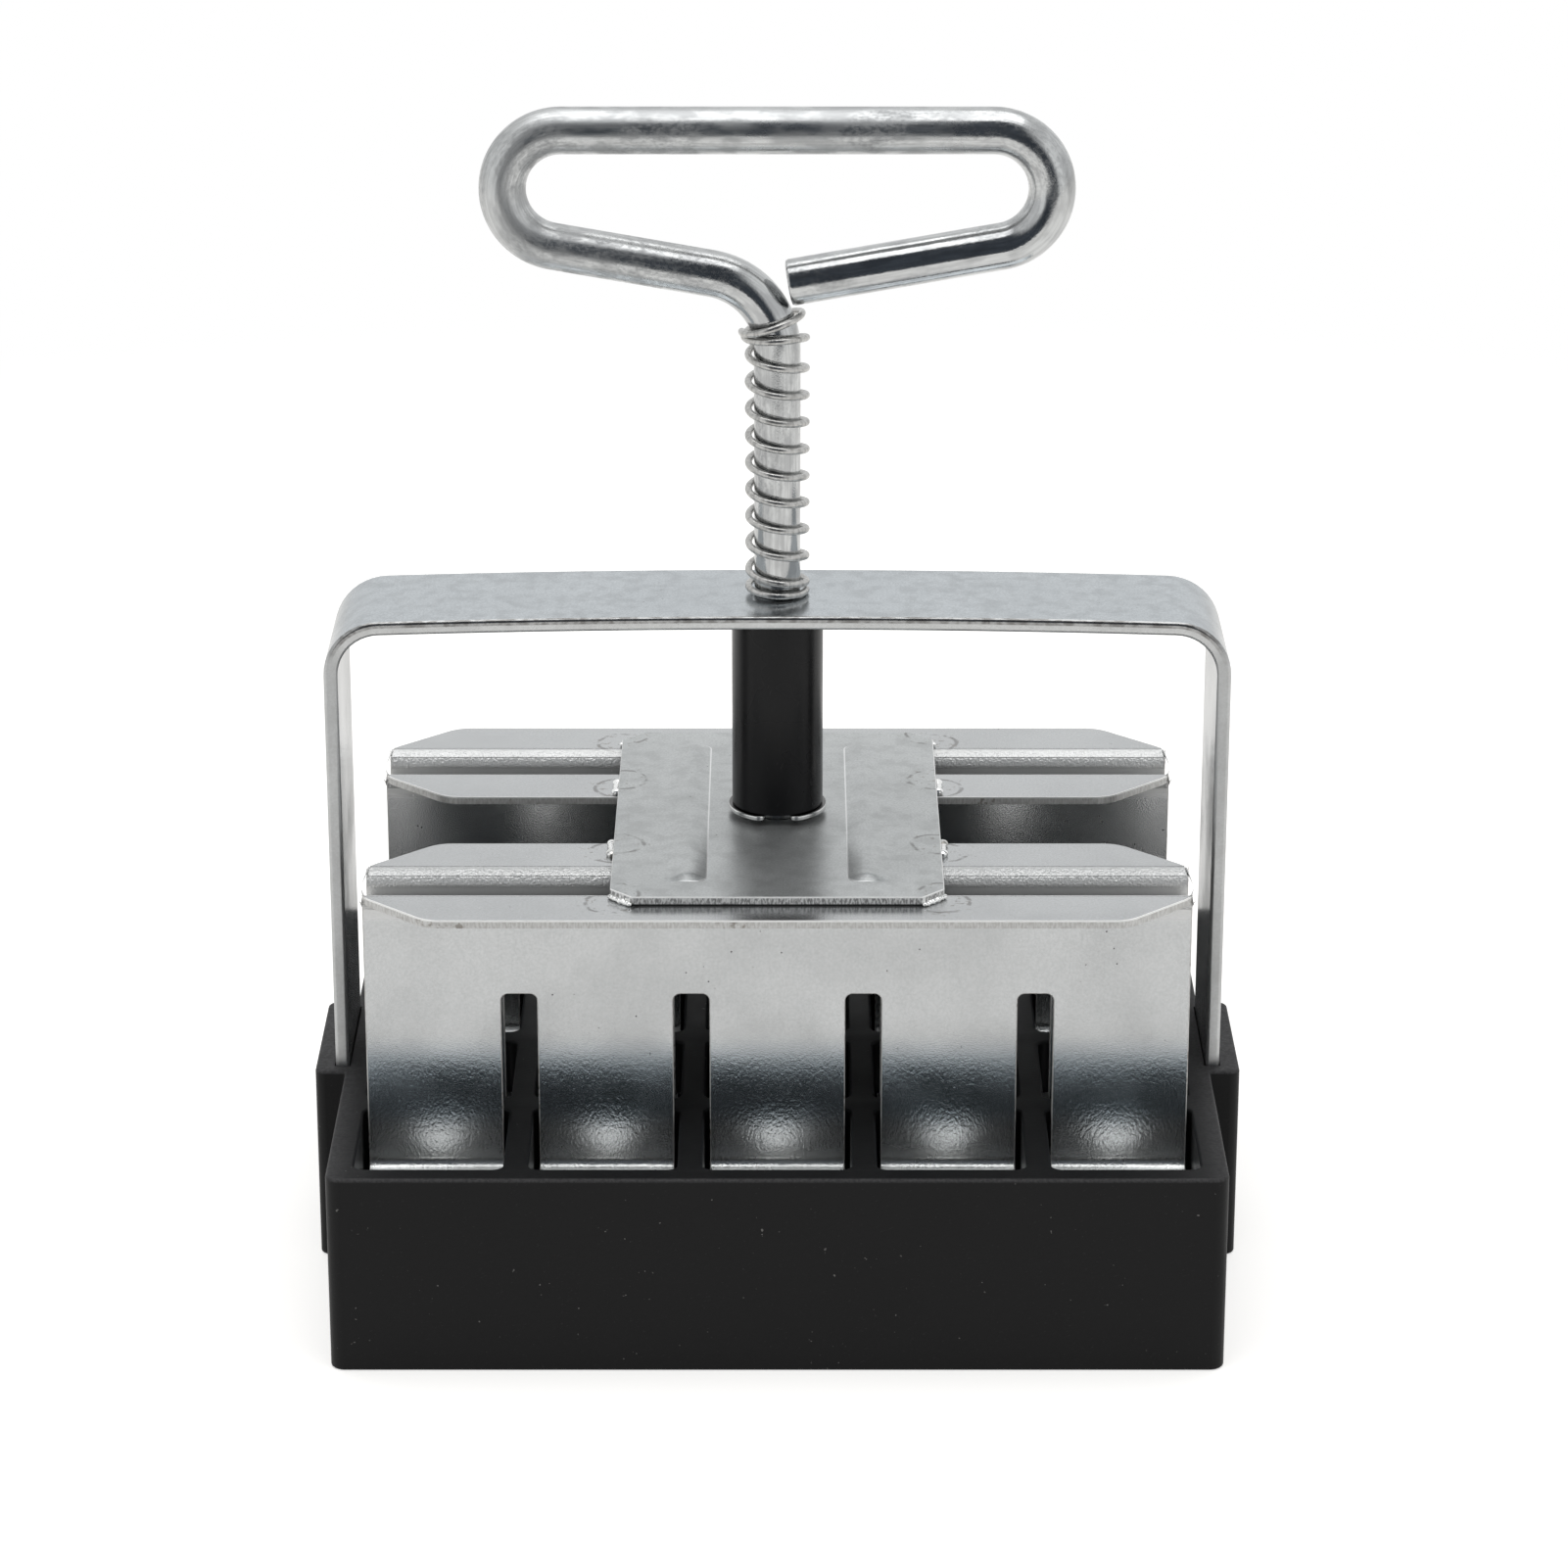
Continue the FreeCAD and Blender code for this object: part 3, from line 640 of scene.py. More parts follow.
def sheet_finish(name, colour, roughness, metallic, wear):
    """Zinc-plated sheet, grainy on the bends and low down, with the marks of the welding; painted bounce
    light on the top bends and under the flange, a painted reflection band on the wall, and painted light on
    the feet.
    """
    finish = zinc_plating(name, colour, roughness, (1, 1, 0.2), 1.6, 0.2, wear)
    shader, place = opened(finish)
    away, high_up, ring = weld_rings(place)
    bend = mark(shader, "bend")["Fac"]
    level = axes(place)["Z"]
    # Painted bounce light: the top bends and the strip under the flange are painted lighter and made less
    # metallic.
    on_top_bend = times(bend, ramp(level, 50 * MM, 55 * MM))
    under_flange = times(ramp(level, 58 * MM, 60 * MM), fall(level, 60.8 * MM, 61.2 * MM))
    painted_bounce_mask = larger(on_top_bend, under_flange)
    # Painted reflection: a darker bluish band on the wall stands for the black cells reflected in it.
    wall_reflection_band = times(ramp(level, 26 * MM, 31 * MM), fall(level, 35 * MM, 42 * MM))
    peel = times(grain(place, 0.36), on_top_bend)
    rough_low = times(grain(place, 0.32, 2.0, (1, 1, 0.6)), fall(level, 32 * MM, 41 * MM))
    sand = grain(place, 0.22, 1.0)
    duller = plus(times(on_top_bend, 0.10), ramp(level, 22 * MM, 27 * MM, 0.05, 0.0))
    burnt = times(ramp(grain(place, 0.8, 3.0), 0.60, 0.68), fall(away, 3.0, 6.5), high_up)
    # Painted light: the feet, low down, are painted lighter so that their reflection in the wall above is
    # brighter.
    shade = recoated(shader, (times(ring, 0.7), MARK_COLOUR), (times(burnt, 0.55), BURNT_COLOUR),
                     (times(painted_bounce_mask, 0.6), PAINTED_BOUNCE_LIGHT), (wall_reflection_band, WALL_REFLECTION_SHADE),
                     (times(fall(level, 22 * MM, 25 * MM), 0.85), PAINTED_FOOT_LIGHT))
    feed(shader, shade, plus(fed(shader, "Roughness"), duller),
         [(ring, -14.0), (burnt, 8.0), (sand, 12.0), (rough_low, 50.0), (peel, 180.0)],
         minus(metallic, times(painted_bounce_mask, 0.5)))
    return finish


EDGE_DARK, EDGE_LIGHT = (0.52, 0.515, 0.50), (0.66, 0.66, 0.65)
RUST, EDGE_HIGHLIGHT_COLOUR = (0.16, 0.13, 0.10), (0.97, 0.97, 0.96)

bright_sheet = sheet_finish("bright_zinc_sheet", (0.515, 0.525, 0.53), 0.21, 0.9, 0.1)
sheared_edge, shader, place = new_finish("sheared_steel_edge", Metallic=0.35)
height = axes(place)["Z"]
torn = grain(place, 0.3, 3.0, (1, 1, 0.3))
# Painted highlight: a near-white line along the top of the flange's edge and along the top of the feet's
# tips.
painted_edge_highlight = larger(ramp(height, (SHEET_TOP - 0.3) * MM, (SHEET_TOP - 0.15) * MM),
              ramp(off(height, (BLOCK_HEIGHT + SHEET - 0.1) * MM), 0.1 * MM, 0.3 * MM, 0.6, 0.0))
rusty = times(ramp(grain(place, 0.7), 0.54, 0.62), ramp(grain(place, 9.0), 0.52, 0.60))
feed(shader, coated(EDGE_DARK, (ramp(torn, 0.35, 0.65), EDGE_LIGHT), (times(rusty, 0.6), RUST),
                    (painted_edge_highlight, EDGE_HIGHLIGHT_COLOUR)), ramp(torn, 0.3, 0.7, 0.52, 0.38), [(torn, 9.0)])

for number, y in enumerate(ROWS, 1):
    facing = -1 if number % 2 else 1
    plate = finger_plate("finger_plate_" + str(number), y - facing * DIVIDER_TO_MIDDLE, facing)
    finished(plate, "plunger", "zinc_sheet", "plunger_row_" + str(number), bright_sheet, sheared_edge)


# ---------- crown plate
# One 1.3 mm zinc-plated plate that joins the four flanges, with its corners cut off and two
# beads pressed up along it. Each bead has a crisp foot towards the rod and runs out outwards.

CROWN_X, CROWN_Y, CROWN_CUT = 23.1, 33.3, 3.1
CROWN_TOP, CROWN_THICKNESS = 64.0, 1.3
CROWN_HOLE_R, CROWN_BEVEL = 3.35, 0.18
BEAD_X, BEAD_HALF_X, BEAD_HALF_Y, BEAD_HEIGHT, BEAD_CORNER_R = 13.1, 3.4, 27.6, 0.85, 1.8
BEAD_SLOPE, BEAD_END_SLOPE = 2.7, 1.7
BEAD_FOOT = 0.12          # width of the crisp band round the foot of a bead, which carries a painted highlight line
BEAD_INSETS = (BEAD_FOOT, 0.3, 0.5, 0.75, 1.0, 1.3, 1.65, 2.1, 2.6, 3.1)


def eased(distance, reach):
    """From 0 to 1 over reach, with a sharp start and a softer end."""
    share = min(1.0, max(0.0, distance / reach))
    return share * (1.15 - 0.15 * share)


def bead_loop(x, inset):
    """Outline of a bead, drawn in by inset, with extra points along its straights."""
    half_x, half_y = BEAD_HALF_X - inset, BEAD_HALF_Y - inset
    corners = box_outline(x, 0, half_x, half_y, max(0.05, BEAD_CORNER_R - inset), 5)
    points = []
    for first, second in zip(corners, corners[1:] + corners[:1]):
        points.append(first)
        if (second - first).length > 3 or abs(second.y - first.y) < 1e-6:
            parts = 24 if abs(second.y - first.y) > 3 else 6
            points += [first.lerp(second, part / parts) for part in range(1, parts)]
    return points


def bead_height(x, y, middle):
    """Height of a bead above the plate."""
    inwards = copysign(1, -middle) * (x - middle)
    outer = min(1.0, max(0.0, (BEAD_HALF_X + inwards) / (1.5 * BEAD_HALF_X)))
    return (BEAD_HEIGHT * eased(BEAD_HALF_X - inwards, BEAD_SLOPE) * outer ** 2 * (3 - 2 * outer)
            * eased(BEAD_HALF_Y - abs(y), BEAD_END_SLOPE))


top = bmesh.new()
foot_highlight_mark = top.verts.layers.float.new("bead_foot")
half_crown = [(-CROWN_X + CROWN_CUT, -CROWN_Y, 0), (CROWN_X - CROWN_CUT, -CROWN_Y, 0),
              (CROWN_X, -CROWN_Y + CROWN_CUT, 0), (CROWN_X, CROWN_Y - CROWN_CUT, 0)]
loop_of(top, rounded(half_crown + [(-x, -y, 0) for x, y, _ in half_crown]))
loop_of(top, circle(0, 0, CROWN_HOLE_R, 48))
feet = [loop_of(top, bead_loop(x, 0)) for x in (-BEAD_X, BEAD_X)]
bmesh.ops.triangle_fill(top, use_beauty=True, edges=top.edges[:])
for middle, bead_foot in zip((-BEAD_X, BEAD_X), feet):
    rings = [bead_foot] + [[top.verts.new((*point, bead_height(*point, middle)))
                            for point in bead_loop(middle, inset)] for inset in BEAD_INSETS]
    # Painted highlight line along the foot of the bead, strongest on the side towards the rod.
    for vertex in rings[1]:
        towards_rod = copysign(1, -middle) * (vertex.co.x - middle) / BEAD_HALF_X
        vertex[foot_highlight_mark] = min(1.0, max(0.0, 0.6 + towards_rod))
    wrap(top, rings)
    top.faces.new(rings[-1])
for vertex in top.verts:
    vertex.co.z += CROWN_TOP
merge_flats(top)
if sum(face.normal.z * face.calc_area() for face in top.faces) < 0:
    bmesh.ops.reverse_faces(top, faces=top.faces)

BEAD_FOOT_HIGHLIGHT = (0.97, 0.97, 0.97)
TORN_DARK, TORN_LIGHT = (0.30, 0.30, 0.30), (0.95, 0.95, 0.94)
UPPER_EDGE_HIGHLIGHT, UNDER_SHADOW = (0.93, 0.93, 0.92), (0.02, 0.02, 0.02)

crown_sheet = sheet_finish("scuffed_zinc_plate", (0.54, 0.555, 0.555), 0.34, 0.7, 1.0)
shader, _ = opened(crown_sheet)
# Painted highlight along the foot of each bead.
feed(shader, recoated(shader, (times(mark(shader, "bead_foot")["Fac"], 0.9), BEAD_FOOT_HIGHLIGHT)))

crown_edge, shader, place = new_finish("torn_plate_edge", Metallic=0.45)
height = axes(place)["Z"]
torn = grain(place, 0.28, 3.0, (1, 1, 0.35))
# Painted highlight along the top of the edge, and painted shadow along its bottom.
feed(shader, coated(TORN_DARK, (ramp(torn, 0.38, 0.62), TORN_LIGHT),
                    (ramp(height, (CROWN_TOP - 0.28) * MM, (CROWN_TOP - 0.08) * MM), UPPER_EDGE_HIGHLIGHT),
                    (fall(height, (SHEET_TOP + 0.18) * MM, (SHEET_TOP + 0.38) * MM), UNDER_SHADOW)),
     ramp(torn, 0.3, 0.7, 0.5, 0.36), [(torn, 60.0)])
crown = thickened(piece_of(top, "crown_plate_pressing", crown_sheet, crown_edge), CROWN_THICKNESS,
                  CROWN_BEVEL, 40, offset=-1.0, use_even_offset=False)
finished(crown, "plunger", "zinc_sheet", "crown_plate", crown_sheet, crown_edge)


# ---------- rod with its loop handle
# One 6.5 mm zinc-plated bar: upright through the strap and the crown plate, bent over the spring
# and round into a flat loop, so that its cut end comes back to the bend.

ROD_R = 3.25
SLOPE_DEGREES = 10
SLOPE = radians(SLOPE_DEGREES)
KNEE_HEIGHT, KNEE_R = 141.8, 11.0
KNEE_START = KNEE_HEIGHT - KNEE_R * tan((pi / 2 - SLOPE) / 2)
END_X, END_R = 29.55, 8.2
END_Z = KNEE_HEIGHT + (END_X + END_R * sin(SLOPE)) * tan(SLOPE) + END_R * cos(SLOPE)
ROD_BOTTOM, GROOVE_R = 59.3, 2.65
RING_THICKNESS = 0.8
LOWER_RING, UPPER_RING = 61.9, 64.8
TIP_GAP = 0.3


def arc(x, z, radius, start, end, step=4.0):
    """Points (x, z) on an arc; angles in degrees from +X towards +Z."""
    count = max(2, round(abs(end - start) / step))
    turns = [radians(start + (end - start) * part / count) for part in range(count + 1)]
    return [(x + radius * cos(turn), z + radius * sin(turn)) for turn in turns]


def straight(start, end, count):
    """Points between two points, without the first."""
    return [tuple(Vector(start).lerp(Vector(end), part / count)) for part in range(1, count + 1)]


def heading_at(path, index):
    """Way that a path (x, z) runs at one of its points."""
    return (Vector(path[min(len(path) - 1, index + 1)]) - Vector(path[max(0, index - 1)])).normalized()


def closed_bar(skin, rings, name):
    """Object for the bar whose rings of vertices run from one end to the other."""
    wrap(skin, rings)
    skin.faces.new(rings[0])
    skin.faces.new(rings[-1])
    bmesh.ops.recalc_face_normals(skin, faces=skin.faces)
    return piece_of(skin, name)


def swept(name, path, radii, sides=40):
    """Round bar along a path (x, z) with a radius at each point; its coordinates run along it."""
    skin = bmesh.new()
    along_mark = skin.verts.layers.float_vector.new("along_bar")
    along = 0.0
    rings = []
    for index, (x, z) in enumerate(path):
        heading = heading_at(path, index)
        along += (Vector((x, z)) - Vector(path[max(0, index - 1)])).length
        rings.append([])
        for out, back in circle(0, 0, 1, sides):
            vertex = skin.verts.new((x + heading.y * out * radii[index], back * radii[index],
                                     z - heading.x * out * radii[index]))
            vertex[along_mark] = Vector((along, out * ROD_R, back * ROD_R)) * MM
            rings[-1].append(vertex)
    return closed_bar(skin, rings, name)


rod_path = [(0.0, ROD_BOTTOM), (0.0, ROD_BOTTOM + 0.12), (0.0, ROD_BOTTOM + 0.5)]
rod_radii = [ROD_R - 0.5, ROD_R - 0.2, ROD_R]
for low in (LOWER_RING, UPPER_RING):
    high = low + RING_THICKNESS
    rod_path += [(0.0, low - 0.02), (0.0, low), (0.0, high), (0.0, high + 0.02)]
    rod_radii += [ROD_R, GROOVE_R, GROOVE_R, ROD_R]
knee = arc(-KNEE_R, KNEE_START, KNEE_R, 0, 90 - SLOPE_DEGREES)
left_end = arc(-END_X, END_Z, END_R, 270 - SLOPE_DEGREES, 90)
right_end = arc(END_X, END_Z, END_R, 90, SLOPE_DEGREES - 90)
uphill = Vector((cos(SLOPE), sin(SLOPE)))
from_knee = Vector((0, KNEE_HEIGHT)) - Vector((-KNEE_R, KNEE_START))
drop = from_knee.dot(Vector((-uphill.y, uphill.x))) - ROD_R
cut_end = (Vector((0, KNEE_HEIGHT))
           + uphill * (sqrt((KNEE_R + ROD_R + TIP_GAP) ** 2 - drop ** 2) - from_knee.dot(uphill)))
smooth_run = (straight(rod_path[-1], knee[0], 12) + knee[1:] + straight(knee[-1], left_end[0], 4)
              + left_end[1:] + straight(left_end[-1], right_end[0], 8) + right_end[1:]
              + straight(right_end[-1], cut_end + uphill * 0.5, 4))
rod_path += smooth_run + [tuple(cut_end + uphill * 0.12), tuple(cut_end)]
rod_radii += [ROD_R] * len(smooth_run) + [ROD_R - 0.15, ROD_R - 0.5]
rod = swept("push_rod_and_handle", rod_path, rod_radii)

# Lengths along the bar at which the loop starts and its top bar ends.
ROD_TO_LOOP = KNEE_START - ROD_BOTTOM + KNEE_R * radians(90 - SLOPE_DEGREES)
TOP_BAR_END = (ROD_TO_LOOP + (Vector(left_end[0]) - Vector(knee[-1])).length
               + END_R * radians(180 - SLOPE_DEGREES) + 2 * END_X)
BAR_LIGHT, BAR_DARK = (0.57, 0.58, 0.58), (0.44, 0.445, 0.445)
BAR_MOTTLE, BAR_SPOTS = (0.33, 0.335, 0.34), (0.2, 0.205, 0.21)

rod_zinc, shader, _ = new_finish("drawn_zinc_bar", Metallic=1.0)
along = mark(shader, "along_bar")["Vector"]
patches = grain(along, 9.0, 3.0, (0.5, 1, 1))
streaks = grain(along, 0.35, 3.0, (0.05, 1, 1))
mottle = grain(along, 2.0, 4.0, (0.5, 1, 1))
speckle = grain(along, 0.38, 3.0, (0.6, 1, 1))
draw_lines = grain(along, 0.7, 2.0, (0.02, 1, 1))
spots = times(ramp(speckle, 0.42, 0.62), ramp(patches, 0.45, 0.60))
colour = coated(BAR_LIGHT, (ramp(streaks, 0.35, 0.7), BAR_DARK),
                (ramp(mottle, 0.40, 0.62, 0.0, 0.6), BAR_MOTTLE), (times(spots, 0.25), BAR_SPOTS))
run = axes(along)["X"]
dulled = times(ramp(run, (ROD_TO_LOOP - 6) * MM, (ROD_TO_LOOP + 26) * MM),
               fall(run, (TOP_BAR_END - 12) * MM, (TOP_BAR_END + 3) * MM))
gloss = plus(ramp(patches, 0.3, 0.7, 0.11, 0.17), times(spots, 0.12))
gloss = plus(gloss, times(dulled, ramp(mottle, 0.40, 0.60, 0.15, 0.29)))
feed(shader, colour, gloss,
     [(draw_lines, 9.0), (streaks, 3.0), (speckle, 5.0), (grain(along, 0.2, 1.0), 7.0)])
finished(rod, "plunger", "zinc_rod", "push_rod", rod_zinc)


# ---------- retaining rings
# Open rings of bright spring steel in the rod's grooves, above and below the crown plate, with
# their mouth to the front and the ends rounded inwards.

RING_R, RING_BORE, RING_MOUTH = 7.0, 2.7, 1.75
RING_END_R, RING_EDGE = 0.9, 0.22
GROOVE_SHADOW = (0.03, 0.03, 0.03)

mouth = degrees(asin(RING_MOUTH / RING_R))
bore_mouth = degrees(asin(RING_MOUTH / RING_BORE))
outside = [(x, y, 0) for x, y in arc(0, 0, RING_R, mouth - 90, 270 - mouth, 4.6)]
bore = [(x, y, 0) for x, y in arc(0, 0, RING_BORE, 270 - bore_mouth, bore_mouth - 90, 7)]
first_end, last_end = [(*outside[end][:2], RING_END_R) for end in (0, -1)]
ring_outline = rounded([first_end] + outside[3:-3] + [last_end] + bore)

ring_steel = zinc_plating("bright_ring_steel", (0.80, 0.80, 0.79), 0.12, (1, 1, 0.2), 6.0, 0.3)
shader, place = opened(ring_steel)
height = axes(place)["Z"]
shadow = larger(fall(height, (UPPER_RING + 0.14) * MM, (UPPER_RING + 0.26) * MM),
                ramp(height, (UPPER_RING + 0.68) * MM, (UPPER_RING + 0.78) * MM))
feed(shader, recoated(shader, (times(shadow, 0.92), GROOVE_SHADOW)))
for name, node, low in (("ring_above_plate", "upper_retaining_ring", UPPER_RING),
                        ("ring_below_plate", "lower_retaining_ring", LOWER_RING)):
    ring = slab(name, [ring_outline], low, low + RING_THICKNESS, RING_EDGE)
    finished(ring, "plunger", "ring_steel", node, ring_steel)


# ---------- spacer sleeve
# Length of glossy black plastic tube on the rod, between the ring and the strap, which stops the
# plunger on its way up. The ends are cut square.

SLEEVE_R, SLEEVE_BORE, SLEEVE_SIDES = 6.45, 3.55, 72
SLEEVE_BOTTOM, SLEEVE_TOP = 65.6, 94.8
TUBE_BLACK, TUBE_SMEARS, TUBE_SCUFFS = (0.006, 0.006, 0.0065), (0.011, 0.011, 0.012), (0.10, 0.10, 0.10)

lower_half = [(SLEEVE_BORE, 0.2), (SLEEVE_BORE + 0.2, 0), (SLEEVE_R - 0.3, 0), (SLEEVE_R - 0.09, 0.09),
              (SLEEVE_R, 0.3)]
profile = ([(radius, SLEEVE_BOTTOM + rise) for radius, rise in lower_half]
           + [(radius, SLEEVE_TOP - rise) for radius, rise in reversed(lower_half)])
tube = bmesh.new()
rings = [[tube.verts.new((*point, z)) for point in circle(0, 0, radius, SLEEVE_SIDES)]
         for radius, z in profile]
wrap(tube, rings + rings[:1])
bmesh.ops.recalc_face_normals(tube, faces=tube.faces)
black_tube, shader, place = new_finish("glossy_black_tube", IOR=1.5, Specular_IOR_Level=0.2)
lines = grain(place, 1.6, 2.0, (1, 1, 0.03))
smears = grain(place, 11.0, 3.0)
scuffs = scratches(place, 5.0, 0.1, (0.2, 1.2, 0.1), 0.4)
feed(shader, coated(TUBE_BLACK, (smears, TUBE_SMEARS), (times(scuffs, 0.2), TUBE_SCUFFS)),
     ramp(smears, 0.3, 0.7, 0.24, 0.34), [(lines, 18.0), (scuffs, -4.0)])
finished(piece_of(tube, "spacer_tube"), "plunger", "sleeve_black", "spacer_sleeve", black_tube)


# ---------- welds
# Short runs of weld that hold the crown plate to the flanges: one on each corner cut, melted to
# a flat bright puddle, and two on each long side, thicker where the run starts and stops.

def new_geometry_tree(name, *inputs):
    """Geometry Nodes tree and its inputs, which are given as (name, kind, value)."""
    tree = bpy.data.node_groups.new(name, "GeometryNodeTree")
    tree.interface.new_socket("Geometry", in_out="OUTPUT", socket_type="NodeSocketGeometry")
    for label, kind, value in (*inputs, ("Finish", "Material", None)):
        socket = tree.interface.new_socket(label, in_out="INPUT", socket_type="NodeSocket" + kind)
        if value is not None:
            socket.default_value = value
    return tree, add(tree, "NodeGroupInput").outputs


def close_tree(tree, given, geometry):
    """End the tree in real geometry with its finish."""
    real = made(tree, "GeometryNodeRealizeInstances", {"Geometry": geometry})
    dressed = made(tree, "GeometryNodeSetMaterial", {"Geometry": real, "Material": given["Finish"]})
    add(tree, "NodeGroupOutput", {"Geometry": dressed})


def grown(mesh, tree, finish):
    """Plain mesh that the tree makes from the mesh."""
    piece = new_piece(mesh.name, mesh)
    modifier = piece.modifiers.new(tree.name, "NODES")
    modifier.node_group = tree
    for item in tree.interface.items_tree:
        if item.name == "Finish":
            modifier[item.identifier] = finish
    return worked(piece)


WANDER = 0.09 * MM        # how far a lump strays from its run
LUMP_SIZES = {2: 0.55, 3: 0.62}
VOXEL = 0.12 * MM
WELD_BRIGHT, WELD_HEATED = (0.88, 0.88, 0.87), (0.50, 0.47, 0.42)

tree, given = new_geometry_tree(
    "weld_run", ("Places", "Geometry", None), ("Lump Radius", "Float", 0.8 * MM), ("Lumps", "Int", 26),
    ("Flatness", "Float", 0.75), ("Seat", "Float", SHEET_TOP * MM), ("Seed", "Int", 3))
copies = add(tree, "GeometryNodeDuplicateElements",
             {"Geometry": given["Places"], "Amount": given["Lumps"]}, domain="POINT")
run = made(tree, "GeometryNodeInputNamedAttribute", {"Name": "run"}, data_type="FLOAT_VECTOR")
part = maths("DIVIDE", copies.outputs["Duplicate Index"], minus(given["Lumps"], 1))
part = minus(part, 0.5)
down_the_run = made(tree, "ShaderNodeVectorMath", {0: run, "Scale": part}, operation="SCALE")
wander = made(tree, "FunctionNodeRandomValue",
              {0: (-WANDER,) * 3, 1: (WANDER,) * 3, "Seed": given["Seed"]}, data_type="FLOAT_VECTOR")
moved = made(tree, "ShaderNodeVectorMath", {0: down_the_run, 1: wander}, operation="ADD")
placed = made(tree, "GeometryNodeSetPosition", {"Geometry": copies.outputs[0], "Offset": moved})
ends = maths("POWER", off(times(part, 2.0)), 4.0)
swell = made(tree, "GeometryNodeInputNamedAttribute", {"Name": "swell"}, data_type="FLOAT")
size = add(tree, "FunctionNodeRandomValue", {**LUMP_SIZES, "Seed": given["Seed"]}, data_type="FLOAT")
lump = times(given["Lump Radius"], plus(size.outputs[1], times(ends, swell)))
cloud = made(tree, "GeometryNodeMeshToPoints", {"Mesh": placed, "Radius": lump})
metal = made(tree, "GeometryNodePointsToVolume", {"Points": cloud, "Radius": lump, "Voxel Size": VOXEL},
             resolution_mode="VOXEL_SIZE")
skin = made(tree, "GeometryNodeVolumeToMesh", {"Volume": metal, "Threshold": 0.1})
at = axes(made(tree, "GeometryNodeInputPosition"))
sunk = plus(given["Seat"], times(minus(at["Z"], given["Seat"]), given["Flatness"]))
flat = made(tree, "ShaderNodeCombineXYZ", {"X": at["X"], "Y": at["Y"], "Z": sunk})
pressed = made(tree, "GeometryNodeSetPosition", {"Geometry": skin, "Position": flat})
close_tree(tree, given, made(tree, "GeometryNodeSetShadeSmooth", {"Geometry": pressed}))

weld_metal, shader, place = new_finish("bright_weld_metal", Metallic=1.0)
heat = grain(place, 2.4)
feed(shader, coated(WELD_BRIGHT, (ramp(heat, 0.55, 0.75), WELD_HEATED)), ramp(heat, 0.3, 0.7, 0.18, 0.30),
     [(grain(place, 0.5), 9.0)])

INNER_WELD_Y, INNER_WELD_LENGTH, INNER_WELD_SWELL = 12.3, 3.8, 0.4
CORNER_WELD_SPREAD, CORNER_WELD_SWELL = 2.82, -0.1
WELD_HEIGHT = SHEET_TOP + 0.45
CORNER_X, CORNER_Y = CROWN_X - CROWN_CUT / 2 + 0.2, CROWN_Y - CROWN_CUT / 2 + 0.2
places, runs, swells = [], [], []
for side in (-1, 1):
    for end in (-1, 1):
        places += [(side * (CROWN_X + 0.25), end * INNER_WELD_Y, WELD_HEIGHT),
                   (side * CORNER_X, end * CORNER_Y, WELD_HEIGHT)]
        runs += [(0, INNER_WELD_LENGTH, 0), (side * CORNER_WELD_SPREAD, -end * CORNER_WELD_SPREAD, 0)]
        swells += [INNER_WELD_SWELL, CORNER_WELD_SWELL]
mesh = bpy.data.meshes.new("weld_runs")
mesh.from_pydata([[MM * part for part in spot] for spot in places], [], [])
mesh.attributes.new("run", "FLOAT_VECTOR", "POINT").data.foreach_set(
    "vector", [MM * part for way in runs for part in way])
mesh.attributes.new("swell", "FLOAT", "POINT").data.foreach_set("value", swells)
welds = grown(mesh, tree, weld_metal)
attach(welds, "plunger")
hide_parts("tack_welds")


# ---------- carrying strap
# Flat 21.5 by 2 mm zinc-plated bar with rounded edges, bent into a low arch over the plunger. Its
# legs stand in the ears' pockets, and the rod slides through a hole in the crown.

STRAP_HALF, STRAP_WIDTH, STRAP_THICKNESS, STRAP_EDGE = 62.5, 21.5, 2.0, 0.5
STRAP_TOP, STRAP_CROWN, STRAP_BEND_R = 97.0, 1.1, 7.0
ROD_PLAY, LEG_HOLE_R, LEG_HOLE_X = 0.25, 1.7, 66
outer_half = STRAP_HALF + STRAP_THICKNESS / 2
bow_r = (outer_half ** 2 + STRAP_CROWN ** 2) / (2 * STRAP_CROWN)
bow_z = STRAP_TOP - bow_r
bow_r -= STRAP_THICKNESS / 2
bend_x = STRAP_HALF - STRAP_BEND_R
bend_z = bow_z + sqrt((bow_r - STRAP_BEND_R) ** 2 - bend_x ** 2)
lean = degrees(asin(bend_x / (bow_r - STRAP_BEND_R)))
left_bend = arc(-bend_x, bend_z, STRAP_BEND_R, 180, 90 + lean, 8)
bow = arc(0, bow_z, bow_r, 90 + lean, 90 - lean, lean / 10)
right_bend = arc(bend_x, bend_z, STRAP_BEND_R, 90 - lean, 0, 8)
left_foot, right_foot = (-STRAP_HALF, POCKET_FLOOR), (STRAP_HALF, POCKET_FLOOR)
strap_path = ([left_foot] + straight(left_foot, left_bend[0], 8) + left_bend[1:] + bow[1:] + right_bend[1:]
              + straight(right_bend[-1], right_foot, 8))
section = box_outline(0, 0, STRAP_THICKNESS / 2, STRAP_WIDTH / 2, STRAP_EDGE, 4)
bar = bmesh.new()
across_mark = bar.verts.layers.float_vector.new("across_bar")
rings = []
for index, (x, z) in enumerate(strap_path):
    heading = heading_at(strap_path, index)
    rings.append([bar.verts.new((x - heading.y * out, y, z + heading.x * out)) for out, y in section])
    for vertex, (out, y) in zip(rings[-1], section):
        vertex[across_mark] = Vector((out, y, 0)) * MM
